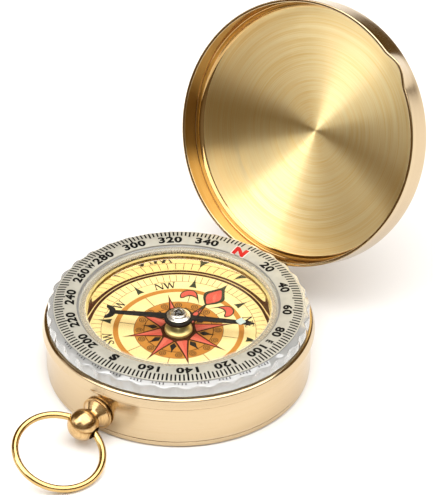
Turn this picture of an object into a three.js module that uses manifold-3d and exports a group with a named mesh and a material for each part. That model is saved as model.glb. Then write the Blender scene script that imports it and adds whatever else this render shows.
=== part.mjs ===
// Survival compass: drum case, turning bezel, floating needle, domed hinged lid and bow ring.
// Millimetres, +Z up. The origin is the centre of the flat base. The hinge is towards +Y, the crown towards -Y.
import * as THREE from 'three';
import { mergeVertices } from 'three/addons/utils/BufferGeometryUtils.js';
import Module from 'manifold-3d';

const wasm = await Module();
wasm.setup();

// Clearances
const seat = 0.1; // between two pieces that sit on each other
const runningGap = 0.3; // between two pieces that turn past each other
const pinPlay = 0.15; // around the hinge pin

// Smoothness of round pieces, in segments for a full turn
const outerSegments = 60;
const hiddenSegments = 40;
const smallSegments = 24;

// Case
const bezelInset = 0.25; // from the case wall's face in to the bezel's grip
const sheet = 0.8;
const rimStand = 0.7;
const rimTop = 11.1;
const rimHeight = 2.2;
const rimRound = 0.3;
const rimSlope = 15;
const rimLip = 0.7;
const ledgeDepth = 0.5;
const baseSkirt = 1.25;
const baseCorner = 0.9;
const baseSpigot = 0.9;
const seamWidth = 0.12;

// Capsule with dial and crystal
const reflectorRadius = 16.6;
const reflectorWall = 0.6;
const housingWall = 0.5;
const housingFlange = 2.7;
const flangeThickness = 0.7;
const dialTop = 7.8;
const dialThickness = 0.4;
const crystalEdge = 13.4;
const crystalEdgeThickness = 1.2;
const crystalDome = 1.2;
const crystalBevel = 0.2;
const gasketThickness = 0.2;
const gasketWidth = 0.5;
const retainerThickness = 0.3;
const retainerOverlap = 0.25;
const retainerLip = 0.45; // over the housing's edge
const spacerWall = 1.4;

// Bezel
const bezelGap = 0.2; // above the case rim
const gripDrop = 1.0; // from the crest down to the grip's upper edge
const gripWidth = 1.1;
const crestReach = 2.75; // from the bore out to the crest
const crestRise = 0.5; // above the retaining ring
const crestFall = 0.75; // from the crest to the bore
const gripLobes = 36;
const gripDepth = 0.45;
const scaleThickness = 0.15;
const scaleWidth = 4.2;
const springThickness = 0.2;
const springWidth = 1.4;
const springWaves = 5;

// Needle
const needlePlane = 10.35;
const needleThickness = 0.25;
const needleTurn = 28.8;
const tipRoom = 2.8; // from the needle's tip to the reflector
const tailShort = 0.5;
const armRoot = 1.3;
const armEnd = 0.75;
const tipWidth = 1.5;
const tipLength = 1.5;
const lumeLength = 2.0;
const lumeWidth = 2.2;
const lumeThickness = 0.12;
const forkRadius = 2.0;
const forkNotch = 1.35;
const hubRadius = 2.65;
const hubBore = 0.7;
const capRadius = 2.15;
const capStep = 1.35;
const capHeight = 0.75;
const beadRadius = 0.85;
const bossRadius = 2.5;
const bossHeight = 1.1;
const pinRadius = 0.35;

// Lid
const lidSheet = 0.6;
const lidDepth = 4.9;
const lidCorner = 1.0;
const lidCornerSlope = 15;
const lidDome = 3.2;
const lidOpen = 114.7;
const bulgeTurn = 42;
const bulgeHalfWidth = 10;
const bulgeStand = 0.9;
const bulgeHeight = 4.4;

// Hinge
const hingeReach = 0.6; // from the case wall out to the pin
const hingeDrop = 1.3; // from the rim's top down to the pin
const hingeWidth = 8.4;
const knuckleRadius = 0.95;
const knuckleGap = 0.3;
const hingePinRadius = 0.45;
const leafLength = 4.1;
const lidLeafLength = 3.0;
const leafStand = 0.8; // from the pin out to the case leaf's face
const lidLeafStand = 1.1; // from the pin out to the lid leaf's face
const leafNotch = 2.0;

// Crown and bow ring
const crownHeight = 4.5;
const crownReach = 4.45; // from the case wall out to the ball's middle
const crownTurn = 18.8;
const ballRadius = 2.9;
const ballBore = 1.35;
const collarRadius = 3.1;
const collarThickness = 0.45;
const coneRoot = 2.75;
const coneNeck = 1.5;
const spigotRadius = 1.2;
const spigotLength = 2.2;
const nutWidth = 4.2;
const nutThickness = 1.2;
const bowRadius = 7.93;
const bowWire = 0.65;
const bowOffset = 0.2;
const bowTilt = 6.4;
const bowSwing = 5.3;

// Sizes that follow from the ones above
const dialRadius = reflectorRadius + reflectorWall;
const housingInner = dialRadius + seat;
const housingOuter = housingInner + housingWall;
const retainerRadius = housingOuter + retainerLip;
const bezelBore = housingOuter + runningGap;
const bezelInner = retainerRadius + runningGap;
const scaleInner = bezelInner + seat;
const scaleOuter = scaleInner + scaleWidth;
const gripStart = scaleOuter + seat;
const bezelRadius = gripStart + gripWidth;
const crestRadius = bezelInner + crestReach;
const wallRadius = bezelRadius + bezelInset;
const wallInner = wallRadius - sheet;
const rimRadius = wallRadius + rimStand;
const rimInner = wallRadius - rimLip;
const rimBottom = rimTop - rimHeight;
const ledgeTop = rimTop - ledgeDepth;
const ledgeBottom = ledgeTop - sheet;
const wallBottom = baseSkirt + seamWidth;
const dialBottom = dialTop - dialThickness;
const housingFloor = dialBottom - seat / 2;
const crystalBottom = crystalEdge - crystalEdgeThickness;
const gasketBottom = crystalBottom - gasketThickness - seat / 2;
const retainerBottom = crystalEdge + seat;
const bezelBottom = rimTop + bezelGap;
const crestHeight = retainerBottom + retainerThickness + crestRise;
const gripTop = crestHeight - gripDrop;
const needleTip = reflectorRadius - tipRoom;
const needleTail = needleTip - tailShort;
const hingeY = wallRadius + hingeReach;
const hingeZ = rimTop - hingeDrop;
const lidBottom = rimTop + seat;
const crownY = -(wallRadius + crownReach);

const brass = { color: 0xf1d29a, roughness: 0.22, metalness: 1.0 };
const polishedBrass = { color: 0xe2b35c, roughness: 0.12, metalness: 1.0 };
const brushedBrass = { color: 0xd8b878, roughness: 0.38, metalness: 1.0 };
const steel = { color: 0xb9b9b4, roughness: 0.3, metalness: 1.0 };
const silver = { color: 0xd2cfc4, roughness: 0.18, metalness: 1.0 };
const blackEnamel = { color: 0x0b0a09, roughness: 0.35, metalness: 0.0 };
const paper = { color: 0xf3df9b, roughness: 0.55, metalness: 0.0 };
const print = { color: 0xc3c2b8, roughness: 0.4, metalness: 0.1 };
const clear = { color: 0xf2f5f4, roughness: 0.05, metalness: 0.0, transparent: true, opacity: 0.35 };
const rubber = { color: 0x55534e, roughness: 0.7, metalness: 0.0 };
const moulded = { color: 0xdedcd2, roughness: 0.6, metalness: 0.0 };
const lume = { color: 0xd7e4d3, roughness: 0.6, metalness: 0.0 };

const degrees = THREE.MathUtils.degToRad;

// Closed surface: shared vertices merged, empty faces dropped, faces turned outwards.
function closed(geometry) {
  const bare = geometry.clone();
  bare.deleteAttribute('normal');
  bare.deleteAttribute('uv');
  const merged = mergeVertices(bare, 1e-4);
  const index = merged.index.array;
  const kept = [];
  for (let i = 0; i < index.length; i += 3) {
    const [a, b, c] = [index[i], index[i + 1], index[i + 2]];
    if (a !== b && b !== c && c !== a) kept.push(a, b, c);
  }
  const p = merged.attributes.position;
  const corner = (i) => new THREE.Vector3().fromBufferAttribute(p, i);
  let volume = 0;
  for (let i = 0; i < kept.length; i += 3) {
    volume += corner(kept[i]).dot(corner(kept[i + 1]).cross(corner(kept[i + 2])));
  }
  if (volume < 0) {
    for (let i = 0; i < kept.length; i += 3) [kept[i + 1], kept[i + 2]] = [kept[i + 2], kept[i + 1]];
  }
  merged.setIndex(kept);
  return merged;
}

function solid(geometry) {
  const g = closed(geometry);
  const vertProperties = new Float32Array(g.attributes.position.array);
  const triVerts = new Uint32Array(g.index.array);
  return new wasm.Manifold(new wasm.Mesh({ numProp: 3, vertProperties, triVerts }));
}

function surface(manifold) {
  const mesh = manifold.getMesh();
  const g = new THREE.BufferGeometry();
  g.setAttribute('position', new THREE.BufferAttribute(new Float32Array(mesh.vertProperties), 3));
  g.setIndex(new THREE.BufferAttribute(new Uint32Array(mesh.triVerts), 1));
  return g;
}

function piece(name, geometry, finish) {
  const material = new THREE.MeshStandardMaterial(finish);
  const mesh = new THREE.Mesh(closed(geometry), material);
  mesh.name = name;
  return mesh;
}

// Profile points are [radius, height]. A ring's profile closes on itself, a disc's starts and ends on the axis.
function turned(profile, segments = outerSegments) {
  const points = profile.map(([r, z]) => new THREE.Vector2(r, z));
  const onAxis = profile[0][0] === 0;
  if (!onAxis) points.push(points[0].clone());
  return new THREE.LatheGeometry(points, segments).rotateX(Math.PI / 2);
}

function tube(inner, outer, bottom, top, segments) {
  return turned([[inner, bottom], [outer, bottom], [outer, top], [inner, top]], segments);
}

// Quarter round from one tangent point to the other, both ends included.
function round(centreR, centreZ, radius, from, to, steps) {
  const points = [];
  for (let i = 0; i <= steps; i++) {
    const a = degrees(from + (to - from) * i / steps);
    points.push([centreR + radius * Math.cos(a), centreZ + radius * Math.sin(a)]);
  }
  return points;
}

// Spherical cap that is height proud at the axis and falls to base at radius, listed from the edge inwards.
function dome(radius, base, height, steps) {
  const points = [];
  for (let i = 0; i <= steps; i++) {
    const r = radius * (1 - i / steps);
    points.push([r, base + height * (1 - (r / radius) ** 2)]);
  }
  return points;
}

function block(x0, x1, y0, y1, z0, z1) {
  return new THREE.BoxGeometry(x1 - x0, y1 - y0, z1 - z0)
    .translate((x0 + x1) / 2, (y0 + y1) / 2, (z0 + z1) / 2);
}

function barX(x0, x1, y, z, radius, sides = 16) {
  return new THREE.CylinderGeometry(radius, radius, x1 - x0, sides)
    .rotateZ(Math.PI / 2)
    .translate((x0 + x1) / 2, y, z);
}

function barY(y0, y1, z, radius, sides = 16) {
  return new THREE.CylinderGeometry(radius, radius, y1 - y0, sides).translate(0, (y0 + y1) / 2, z);
}

function drum(radius, bottom, top) {
  return new THREE.CylinderGeometry(radius, radius, top - bottom, outerSegments)
    .rotateX(Math.PI / 2)
    .translate(0, 0, (bottom + top) / 2);
}

// Moves each vertex out from the Z axis by amount(turn from -Y in degrees, radius, height).
function pushedOut(geometry, amount) {
  const p = geometry.attributes.position;
  for (let i = 0; i < p.count; i++) {
    const [x, y, z] = [p.getX(i), p.getY(i), p.getZ(i)];
    const r = Math.hypot(x, y);
    if (r < 1e-6) continue;
    const turn = THREE.MathUtils.radToDeg(Math.atan2(x, -y));
    const grown = (r + amount(turn, r, z)) / r;
    p.setXYZ(i, x * grown, y * grown, z);
  }
  return geometry;
}

// Room in the rim for the knuckles, open upwards for the lid's and down along the wall for the case's leaf.
function knuckleRoom() {
  const half = hingeWidth / 2 + knuckleGap * 1.5;
  const reach = knuckleRadius + runningGap;
  const around = solid(barX(-half, half, hingeY, hingeZ, reach, smallSegments));
  const above = solid(block(-half, half, hingeY - reach, hingeY + reach, hingeZ, rimTop + 1));
  const below = solid(block(-half, half, wallRadius - 1, hingeY + reach, rimBottom - 0.1, hingeZ))
    .subtract(solid(drum(wallRadius + seat / 2, 0, rimTop)));
  return around.add(above).add(below);
}

function caseShell() {
  const profile = [
    [wallInner, wallBottom],
    [wallRadius, wallBottom],
    [wallRadius, rimBottom],
    ...round(rimRadius - rimRound, rimBottom + rimRound, rimRound, -90, rimSlope, 3),
    [wallRadius, rimTop],
    [rimInner, rimTop],
    [rimInner, ledgeTop],
    [housingOuter + seat, ledgeTop],
    [housingOuter + seat, ledgeBottom],
    [wallInner, ledgeBottom],
  ];
  const crownHole = barY(crownY, -wallInner + 1, crownHeight, spigotRadius + seat, smallSegments);
  return surface(solid(turned(profile)).subtract(knuckleRoom()).subtract(solid(crownHole)));
}

// Pressed cover: rounded edge outside, spigot inside the case wall.
function basePlate() {
  const edge = wallRadius - seamWidth;
  const spigot = wallInner - seat;
  const profile = [
    [0, 0],
    ...round(edge - baseCorner, baseCorner, baseCorner, -90, 0, 2),
    [edge, baseSkirt],
    [spigot, baseSkirt],
    [spigot, baseSkirt + baseSpigot],
    [spigot - sheet, baseSkirt + baseSpigot],
    [spigot - sheet, sheet],
    [0, sheet],
  ];
  return turned(profile);
}

// Cup that is pushed up under the case's ledge and carries dial, reflector and crystal.
function capsuleHousing() {
  const flangeTop = ledgeBottom - seat;
  const flangeRadius = housingOuter + housingFlange;
  const profile = [
    [0, housingFloor - sheet],
    [housingOuter, housingFloor - sheet],
    [housingOuter, flangeTop - flangeThickness],
    [flangeRadius, flangeTop - flangeThickness],
    [flangeRadius, flangeTop],
    [housingOuter, flangeTop],
    [housingOuter, crystalEdge],
    [housingInner, crystalEdge],
    [housingInner, housingFloor],
    [0, housingFloor],
  ];
  return turned(profile, hiddenSegments);
}

function spacerRing() {
  const outer = housingOuter + housingFlange - seat;
  const top = ledgeBottom - seat - flangeThickness - seat;
  return tube(outer - spacerWall, outer, sheet + seat, top, hiddenSegments);
}

function dialPlate() {
  const outer = dialRadius;
  return turned([[0, dialBottom], [outer, dialBottom], [outer, dialTop], [0, dialTop]]);
}

function reflectorRing() {
  return tube(reflectorRadius, dialRadius, dialTop + seat / 2, gasketBottom - seat / 2, hiddenSegments);
}

function crystalGasket() {
  const top = gasketBottom + gasketThickness;
  return tube(dialRadius - gasketWidth, dialRadius, gasketBottom, top, hiddenSegments);
}

// Flat below, domed above, with a bevelled edge.
function crystal() {
  const bevelled = dialRadius - crystalBevel;
  const profile = [
    [0, crystalBottom],
    [dialRadius, crystalBottom],
    [dialRadius, crystalEdge - crystalBevel],
    ...dome(bevelled, crystalEdge, crystalDome, 4),
  ];
  return turned(profile);
}

function retainingRing() {
  const top = retainerBottom + retainerThickness;
  return tube(dialRadius - retainerOverlap, retainerRadius, retainerBottom, top, hiddenSegments);
}

// The bezel's top is a parabola in section, highest at the crest.
function bezelHeight(r) {
  return crestHeight - crestFall * ((r - crestRadius) / crestReach) ** 2;
}

// Clear ring: bore round the capsule, shoulder under the retaining ring, crowned top and scalloped grip.
function bezelRing() {
  const crest = [];
  for (let i = 0; i <= 4; i++) {
    const r = gripStart + (bezelInner - gripStart) * i / 4;
    crest.push([r, bezelHeight(r) - scaleThickness - seat]);
  }
  const shoulderTop = retainerBottom - runningGap;
  const profile = [
    [bezelBore, bezelBottom],
    [bezelRadius, bezelBottom],
    [bezelRadius, gripTop],
    ...crest,
    [bezelInner, shoulderTop],
    [bezelBore, shoulderTop],
  ];
  return pushedOut(turned(profile, gripLobes * 3), (turn, r, z) => {
    const share = THREE.MathUtils.clamp((r - gripStart) / (bezelRadius - gripStart), 0, 1);
    return -gripDepth * share * (0.5 - 0.5 * Math.cos(degrees(turn * gripLobes)));
  });
}

function bezelScale() {
  const over = [];
  const under = [];
  for (let i = 0; i <= 3; i++) {
    const r = scaleInner + (scaleOuter - scaleInner) * i / 3;
    over.push([r, bezelHeight(r)]);
    under.unshift([r, bezelHeight(r) - scaleThickness]);
  }
  return turned([...under, ...over], outerSegments);
}

// Flat washer bent into waves between the case's ledge and the bezel.
function waveSpring() {
  const room = bezelBottom - ledgeTop - springThickness - 2 * seat;
  const middle = (housingOuter + bezelRadius) / 2;
  const bottom = ledgeTop + seat;
  const inner = middle - springWidth / 2;
  const ring = tube(inner, inner + springWidth, bottom, bottom + springThickness, hiddenSegments);
  const p = ring.attributes.position;
  for (let i = 0; i < p.count; i++) {
    const turn = Math.atan2(p.getX(i), -p.getY(i));
    p.setZ(i, p.getZ(i) + room * (0.5 + 0.5 * Math.cos(turn * springWaves)));
  }
  return ring;
}

function pivotBoss() {
  const bottom = dialTop + seat / 2;
  const profile = [
    [0, bottom],
    [bossRadius, bottom],
    [bossRadius, bottom + bossHeight * 0.25],
    [bossRadius * 0.75, bottom + bossHeight * 0.55],
    [bossRadius * 0.35, bottom + bossHeight * 0.9],
    [pinRadius + 0.2, bottom + bossHeight],
    [0, bottom + bossHeight],
  ];
  return turned(profile, smallSegments);
}

function pivotPin() {
  const bottom = dialTop + seat + bossHeight;
  const top = beadCentre() - beadRadius - seat;
  const profile = [
    [0, bottom],
    [pinRadius, bottom],
    [pinRadius, top - 3 * pinRadius],
    [pinRadius * 0.3, top],
    [0, top],
  ];
  return turned(profile, 12);
}

function arm(length, root, end) {
  const shape = new THREE.Shape();
  shape.moveTo(0, -root / 2);
  shape.lineTo(length, -end / 2);
  shape.lineTo(length, end / 2);
  shape.lineTo(0, root / 2);
  return shape;
}

function plate(shape, bottom, thickness, curveSegments = 10) {
  const settings = { depth: thickness, bevelEnabled: false, curveSegments };
  return new THREE.ExtrudeGeometry(shape, settings).translate(0, 0, bottom);
}

function disc(x, radius, sides = smallSegments) {
  return new THREE.CylinderGeometry(radius, radius, needleThickness, sides)
    .rotateX(Math.PI / 2)
    .translate(x, 0, needlePlane + needleThickness / 2);
}

// The needle points along +X: arrow at the tip, hub in the middle, fork at the tail.
function needleBlade() {
  const head = new THREE.Shape();
  head.moveTo(needleTip - tipLength, -tipWidth / 2);
  head.lineTo(needleTip, 0);
  head.lineTo(needleTip - tipLength, tipWidth / 2);
  const t = needleThickness;
  const front = solid(plate(arm(needleTip - tipLength / 2, armRoot, armEnd), needlePlane, t));
  const back = solid(plate(arm(needleTail - forkRadius, armRoot, armEnd), needlePlane, t).rotateZ(Math.PI));
  const notchAt = -needleTail - forkNotch * 0.25;
  const bite = new THREE.CylinderGeometry(forkNotch, forkNotch, 2, smallSegments).rotateX(Math.PI / 2);
  const fork = solid(disc(forkRadius - needleTail, forkRadius))
    .subtract(solid(bite.translate(notchAt, 0, needlePlane)));
  const bore = new THREE.CylinderGeometry(hubBore, hubBore, 2, smallSegments).rotateX(Math.PI / 2);
  return surface(front
    .add(back)
    .add(solid(plate(head, needlePlane, t)))
    .add(fork)
    .add(solid(disc(0, hubRadius)))
    .subtract(solid(bore.translate(0, 0, needlePlane))));
}

function needleLume() {
  const middle = needleTip - tipLength - lumeLength / 2;
  const shape = new THREE.Shape();
  shape.moveTo(middle - lumeLength / 2, 0);
  shape.lineTo(middle, -lumeWidth / 2);
  shape.lineTo(middle + lumeLength / 2, 0);
  shape.lineTo(middle, lumeWidth / 2);
  return plate(shape, needlePlane + needleThickness + seat / 2, lumeThickness);
}

function needleCap() {
  const bottom = needlePlane + needleThickness + seat / 2;
  const bore = beadRadius + seat;
  const profile = [
    [bore, bottom],
    [capRadius, bottom],
    [capRadius, bottom + capHeight * 0.25],
    [capStep + 0.2, bottom + capHeight * 0.55],
    [capStep, bottom + capHeight],
    [bore, bottom + capHeight],
  ];
  return turned(profile, smallSegments);
}

function beadCentre() {
  return needlePlane + needleThickness + seat / 2 + capHeight * 0.6;
}

function needleJewel() {
  return new THREE.SphereGeometry(beadRadius, 12, 6).rotateX(Math.PI / 2).translate(0, 0, beadCentre());
}

// Pressed cup with a domed back, drawn closed. The wall swells out at the thumb bulge, most at the rim.
function lidShell() {
  const wallTop = lidBottom + lidDepth;
  const cornerR = rimRadius - lidCorner;
  const domeSlope = lidCornerSlope;
  const outerCorner = round(cornerR, wallTop, lidCorner, 0, 90 - domeSlope, 3);
  const innerCorner = round(cornerR, wallTop, lidCorner - lidSheet, 0, 90 - domeSlope, 2);
  const [outerR, outerZ] = outerCorner.at(-1);
  const [innerR, innerZ] = innerCorner.at(-1);
  const profile = [
    [0, innerZ + lidDome],
    ...dome(innerR, innerZ, lidDome, 4).reverse().slice(1, -1),
    ...innerCorner.reverse(),
    [rimRadius - lidSheet, lidBottom],
    [rimRadius, lidBottom],
    ...outerCorner,
    ...dome(outerR, outerZ, lidDome + 0.15, 4).slice(1),
  ];
  return pushedOut(turned(profile, 90), (turn, r, z) => {
    const side = Math.abs(turn - bulgeTurn) / bulgeHalfWidth;
    const rise = (z - lidBottom) / bulgeHeight;
    if (side >= 1 || rise >= 1 || r < cornerR) return 0;
    return bulgeStand * Math.cos(side * Math.PI / 2) ** 2 * (1 - rise);
  });
}

function knuckle(x0, x1) {
  return solid(barX(x0, x1, hingeY, hingeZ, knuckleRadius));
}

function pinBore() {
  const half = hingeWidth;
  return solid(barX(-half, half, hingeY, hingeZ, hingePinRadius + pinPlay, 12));
}

const middleKnuckle = (hingeWidth - 2 * knuckleGap) / 3;

// Plate on the case wall with the two outer knuckles, notched for the lid's knuckle.
function caseHingeLeaf() {
  const half = hingeWidth / 2;
  const gapSide = middleKnuckle / 2 + knuckleGap;
  const top = hingeZ - 0.4;
  const face = hingeY + leafStand;
  const flat = solid(block(-half, half, wallRadius - 1, face, top - leafLength, top));
  const notch = solid(barX(-gapSide, gapSide, hingeY, hingeZ, leafNotch, smallSegments));
  return surface(flat
    .subtract(solid(drum(wallRadius + seat, 0, rimTop)))
    .add(knuckle(-half, -gapSide))
    .add(knuckle(gapSide, half))
    .subtract(notch)
    .subtract(pinBore()));
}

// Plate on the lid's wall with the middle knuckle, drawn closed.
function lidHingeLeaf() {
  const half = hingeWidth / 2;
  const neck = middleKnuckle / 2;
  const face = hingeY + lidLeafStand;
  const bottom = lidBottom + 0.35;
  const plateBlock = solid(block(-half, half, rimRadius - 1, face, bottom, bottom + lidLeafLength));
  const upperNeck = solid(block(-neck, neck, rimRadius - 1, face, rimTop - 0.3, bottom + 0.5));
  const lowerNeck = solid(block(-neck, neck, hingeY, face, hingeZ, rimTop - 0.2));
  return surface(plateBlock
    .add(upperNeck)
    .subtract(solid(drum(rimRadius + seat, rimTop - 1, lidBottom + 2 * lidDepth)))
    .add(lowerNeck)
    .add(knuckle(-neck, neck))
    .subtract(pinBore()));
}

function hingePin() {
  const half = hingeWidth / 2 + knuckleGap / 2;
  return barX(-half, half, hingeY, hingeZ, hingePinRadius, 12);
}

// Turned part: spigot through the case wall, collar, cone and drilled ball, all on a line towards -Y.
function crown() {
  const collarFace = -(wallRadius + seat);
  const coneStart = collarFace - collarThickness;
  const neckAt = crownY + Math.sqrt(ballRadius ** 2 - coneNeck ** 2);
  const ball = round(0, 0, ballRadius, THREE.MathUtils.radToDeg(Math.acos(coneNeck / ballRadius)), -90, 7)
    .map(([r, along]) => [r, crownY + along]);
  ball[ball.length - 1][0] = 0;
  const profile = [
    [0, collarFace + spigotLength],
    [spigotRadius, collarFace + spigotLength],
    [spigotRadius, collarFace],
    [collarRadius, collarFace],
    [collarRadius, coneStart],
    [coneRoot, coneStart],
    [coneNeck, neckAt],
    ...ball.slice(1),
  ];
  const points = profile.map(([r, along]) => new THREE.Vector2(r, along));
  const body = new THREE.LatheGeometry(points, smallSegments).translate(0, 0, crownHeight);
  const bore = barX(-ballRadius - 1, ballRadius + 1, 0, 0, ballBore, smallSegments)
    .rotateY(degrees(crownTurn))
    .translate(0, crownY, crownHeight);
  return surface(solid(body).subtract(solid(bore)));
}

function crownNut() {
  const inside = -(wallInner - seat - 0.1);
  const hex = new THREE.CylinderGeometry(nutWidth / Math.sqrt(3), nutWidth / Math.sqrt(3), nutThickness, 6)
    .rotateY(Math.PI / 6)
    .translate(0, inside + nutThickness / 2, crownHeight);
  const bore = barY(inside - 1, inside + nutThickness + 1, crownHeight, spigotRadius + seat, smallSegments);
  return surface(solid(hex).subtract(solid(bore)));
}

// Wire ring lying in its own plane, hung from the ball's bore at the group's origin.
function bowRing() {
  return new THREE.TorusGeometry(bowRadius, bowWire, 8, 48).translate(0, bowOffset - bowRadius, 0);
}

function bowGroup() {
  const swing = new THREE.Group();
  swing.rotation.z = degrees(bowSwing);
  swing.add(piece('bow_ring', bowRing(), polishedBrass));
  const tilt = new THREE.Group();
  tilt.rotation.x = degrees(bowTilt);
  tilt.add(swing);
  const group = new THREE.Group();
  group.position.set(0, crownY, crownHeight);
  group.rotation.y = degrees(crownTurn);
  group.add(tilt);
  return group;
}

// The lid's pieces are drawn closed, so they hang from the pin and are swung open about it.
function lidGroup() {
  const group = new THREE.Group();
  group.position.set(0, hingeY, hingeZ);
  group.rotation.x = -degrees(lidOpen);
  const pieces = [
    piece('lid_shell', lidShell(), brushedBrass),
    piece('lid_hinge_leaf', lidHingeLeaf(), brass),
  ];
  for (const mesh of pieces) {
    mesh.position.set(0, -hingeY, -hingeZ);
    group.add(mesh);
  }
  return group;
}

function needleGroup() {
  const group = new THREE.Group();
  group.rotation.z = degrees(needleTurn);
  group.add(piece('needle_blade', needleBlade(), blackEnamel));
  group.add(piece('needle_lume', needleLume(), lume));
  group.add(piece('needle_cap', needleCap(), silver));
  group.add(piece('needle_jewel', needleJewel(), clear));
  return group;
}

const compass = new THREE.Group();
compass.add(piece('case_shell', caseShell(), brass));
compass.add(piece('base_plate', basePlate(), brass));
compass.add(piece('capsule_housing', capsuleHousing(), brass));
compass.add(piece('spacer_ring', spacerRing(), moulded));
compass.add(piece('dial_plate', dialPlate(), paper));
compass.add(piece('reflector_ring', reflectorRing(), polishedBrass));
compass.add(piece('crystal_gasket', crystalGasket(), rubber));
compass.add(piece('crystal', crystal(), clear));
compass.add(piece('retaining_ring', retainingRing(), polishedBrass));
compass.add(piece('wave_spring', waveSpring(), steel));
compass.add(piece('pivot_boss', pivotBoss(), polishedBrass));
compass.add(piece('pivot_pin', pivotPin(), steel));
compass.add(piece('case_hinge_leaf', caseHingeLeaf(), brass));
compass.add(piece('hinge_pin', hingePin(), steel));
compass.add(piece('crown', crown(), polishedBrass));
compass.add(piece('crown_nut', crownNut(), brass));
compass.add(piece('bezel_ring', bezelRing(), clear));
compass.add(piece('bezel_scale', bezelScale(), print));
compass.add(needleGroup());
compass.add(lidGroup());
compass.add(bowGroup());

export default compass;
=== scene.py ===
"""Looks of the survival compass: brass case and lid, clear bezel and scale, dial, needle and bow ring.

Lengths in this script are millimetres until a mesh is made, while lamps and camera are placed in metres.
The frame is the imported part's own.
A turn is measured from -Y towards +X, a bearing clockwise from +Y as the dial is read from above.
"""
import math

import bmesh
import bpy
import numpy as np
from mathutils import Matrix, Vector


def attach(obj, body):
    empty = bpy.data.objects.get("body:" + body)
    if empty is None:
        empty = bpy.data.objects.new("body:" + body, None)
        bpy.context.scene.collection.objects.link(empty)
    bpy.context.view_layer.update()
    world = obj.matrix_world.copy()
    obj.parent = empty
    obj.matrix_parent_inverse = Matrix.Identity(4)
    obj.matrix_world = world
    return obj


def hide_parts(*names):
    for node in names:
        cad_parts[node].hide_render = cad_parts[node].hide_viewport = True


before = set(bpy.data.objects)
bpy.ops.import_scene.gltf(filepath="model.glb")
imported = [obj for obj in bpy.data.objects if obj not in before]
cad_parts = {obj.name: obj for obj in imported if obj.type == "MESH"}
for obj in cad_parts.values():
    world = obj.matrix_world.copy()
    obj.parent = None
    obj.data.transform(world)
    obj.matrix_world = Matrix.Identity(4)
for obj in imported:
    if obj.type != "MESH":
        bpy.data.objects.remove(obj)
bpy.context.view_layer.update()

MM = 0.001
TAU = 2 * math.pi

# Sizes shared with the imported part
WALL_R = 24.3
WALL_IN = 23.5
RIM_R = 25.0
RIM_TOP = 11.1
RIM_LOW = 8.9
HINGE_Y = 24.9
HINGE_Z = 9.8
LID_OPEN = math.radians(114.7)
LID_LOW = 11.2
CROWN_Y = -28.75
CROWN_Z = 4.5
CROWN_TURN = math.radians(18.8)
DIAL_Z = 7.8
BEZEL_BORE = 18.55
SCALE_IN = 18.65
SCALE_OUT = 22.85
GRIP_IN = 22.95
GRIP_R = 24.05
NEEDLE_Z = 10.35
NEEDLE_TURN = math.radians(28.8)
PRINT_TURN = -2.0


# Meshes

# Edges sharper than so many degrees stay sharp: as a rule, on much rounded pieces and on crisp ones
SHARP_ANGLE = 35
ROUND_ANGLE = 50
CRISP_ANGLE = 30

# A row narrower than this is one pole point
POLE_SPREAD = 1e-6

# A rounding takes up MOST_SHARE of a side at most. A side longer than LONG_SIDE times its roundings
# gets held points, at HELD roundings from the corners.
MOST_SHARE = 0.48
LONG_SIDE = 1.5
HELD = 1.25


def mesh_from(name, points, faces, uvs=None, indices=None):
    """Object from points in mm and faces; points that no face uses are left out."""
    flat = np.concatenate([np.asarray(f, int) for f in faces])
    used, inverse = np.unique(flat, return_inverse=True)
    sizes = np.array([len(f) for f in faces])
    starts = np.concatenate([[0], np.cumsum(sizes)[:-1]])
    mesh = bpy.data.meshes.new(name)
    mesh.vertices.add(len(used))
    mesh.vertices.foreach_set("co", (np.asarray(points, float)[used] * MM).ravel())
    mesh.loops.add(len(flat))
    mesh.loops.foreach_set("vertex_index", inverse.astype(np.int32))
    mesh.polygons.add(len(faces))
    mesh.polygons.foreach_set("loop_start", starts.astype(np.int32))
    if uvs is not None:
        layer = mesh.uv_layers.new(name="UVMap")
        layer.data.foreach_set("uv", np.concatenate(uvs).ravel())
    if indices is not None:
        mesh.polygons.foreach_set("material_index", np.asarray(indices, np.int32))
    mesh.update(calc_edges=True)
    mesh.validate()
    obj = bpy.data.objects.new(name, mesh)
    bpy.context.scene.collection.objects.link(obj)
    return obj


def signed_volume(points, faces):
    """Sum of a . (b x c) / 6 over the faces' fans."""
    total = 0.0
    for size in (3, 4):
        rows = np.array([f for f in faces if len(f) == size], int)
        if not len(rows):
            continue
        for i in range(1, size - 1):
            a, b, c = points[rows[:, 0]], points[rows[:, i]], points[rows[:, i + 1]]
            total += np.einsum("ij,ij->", a, np.cross(b, c)) / 6
    return total


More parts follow.
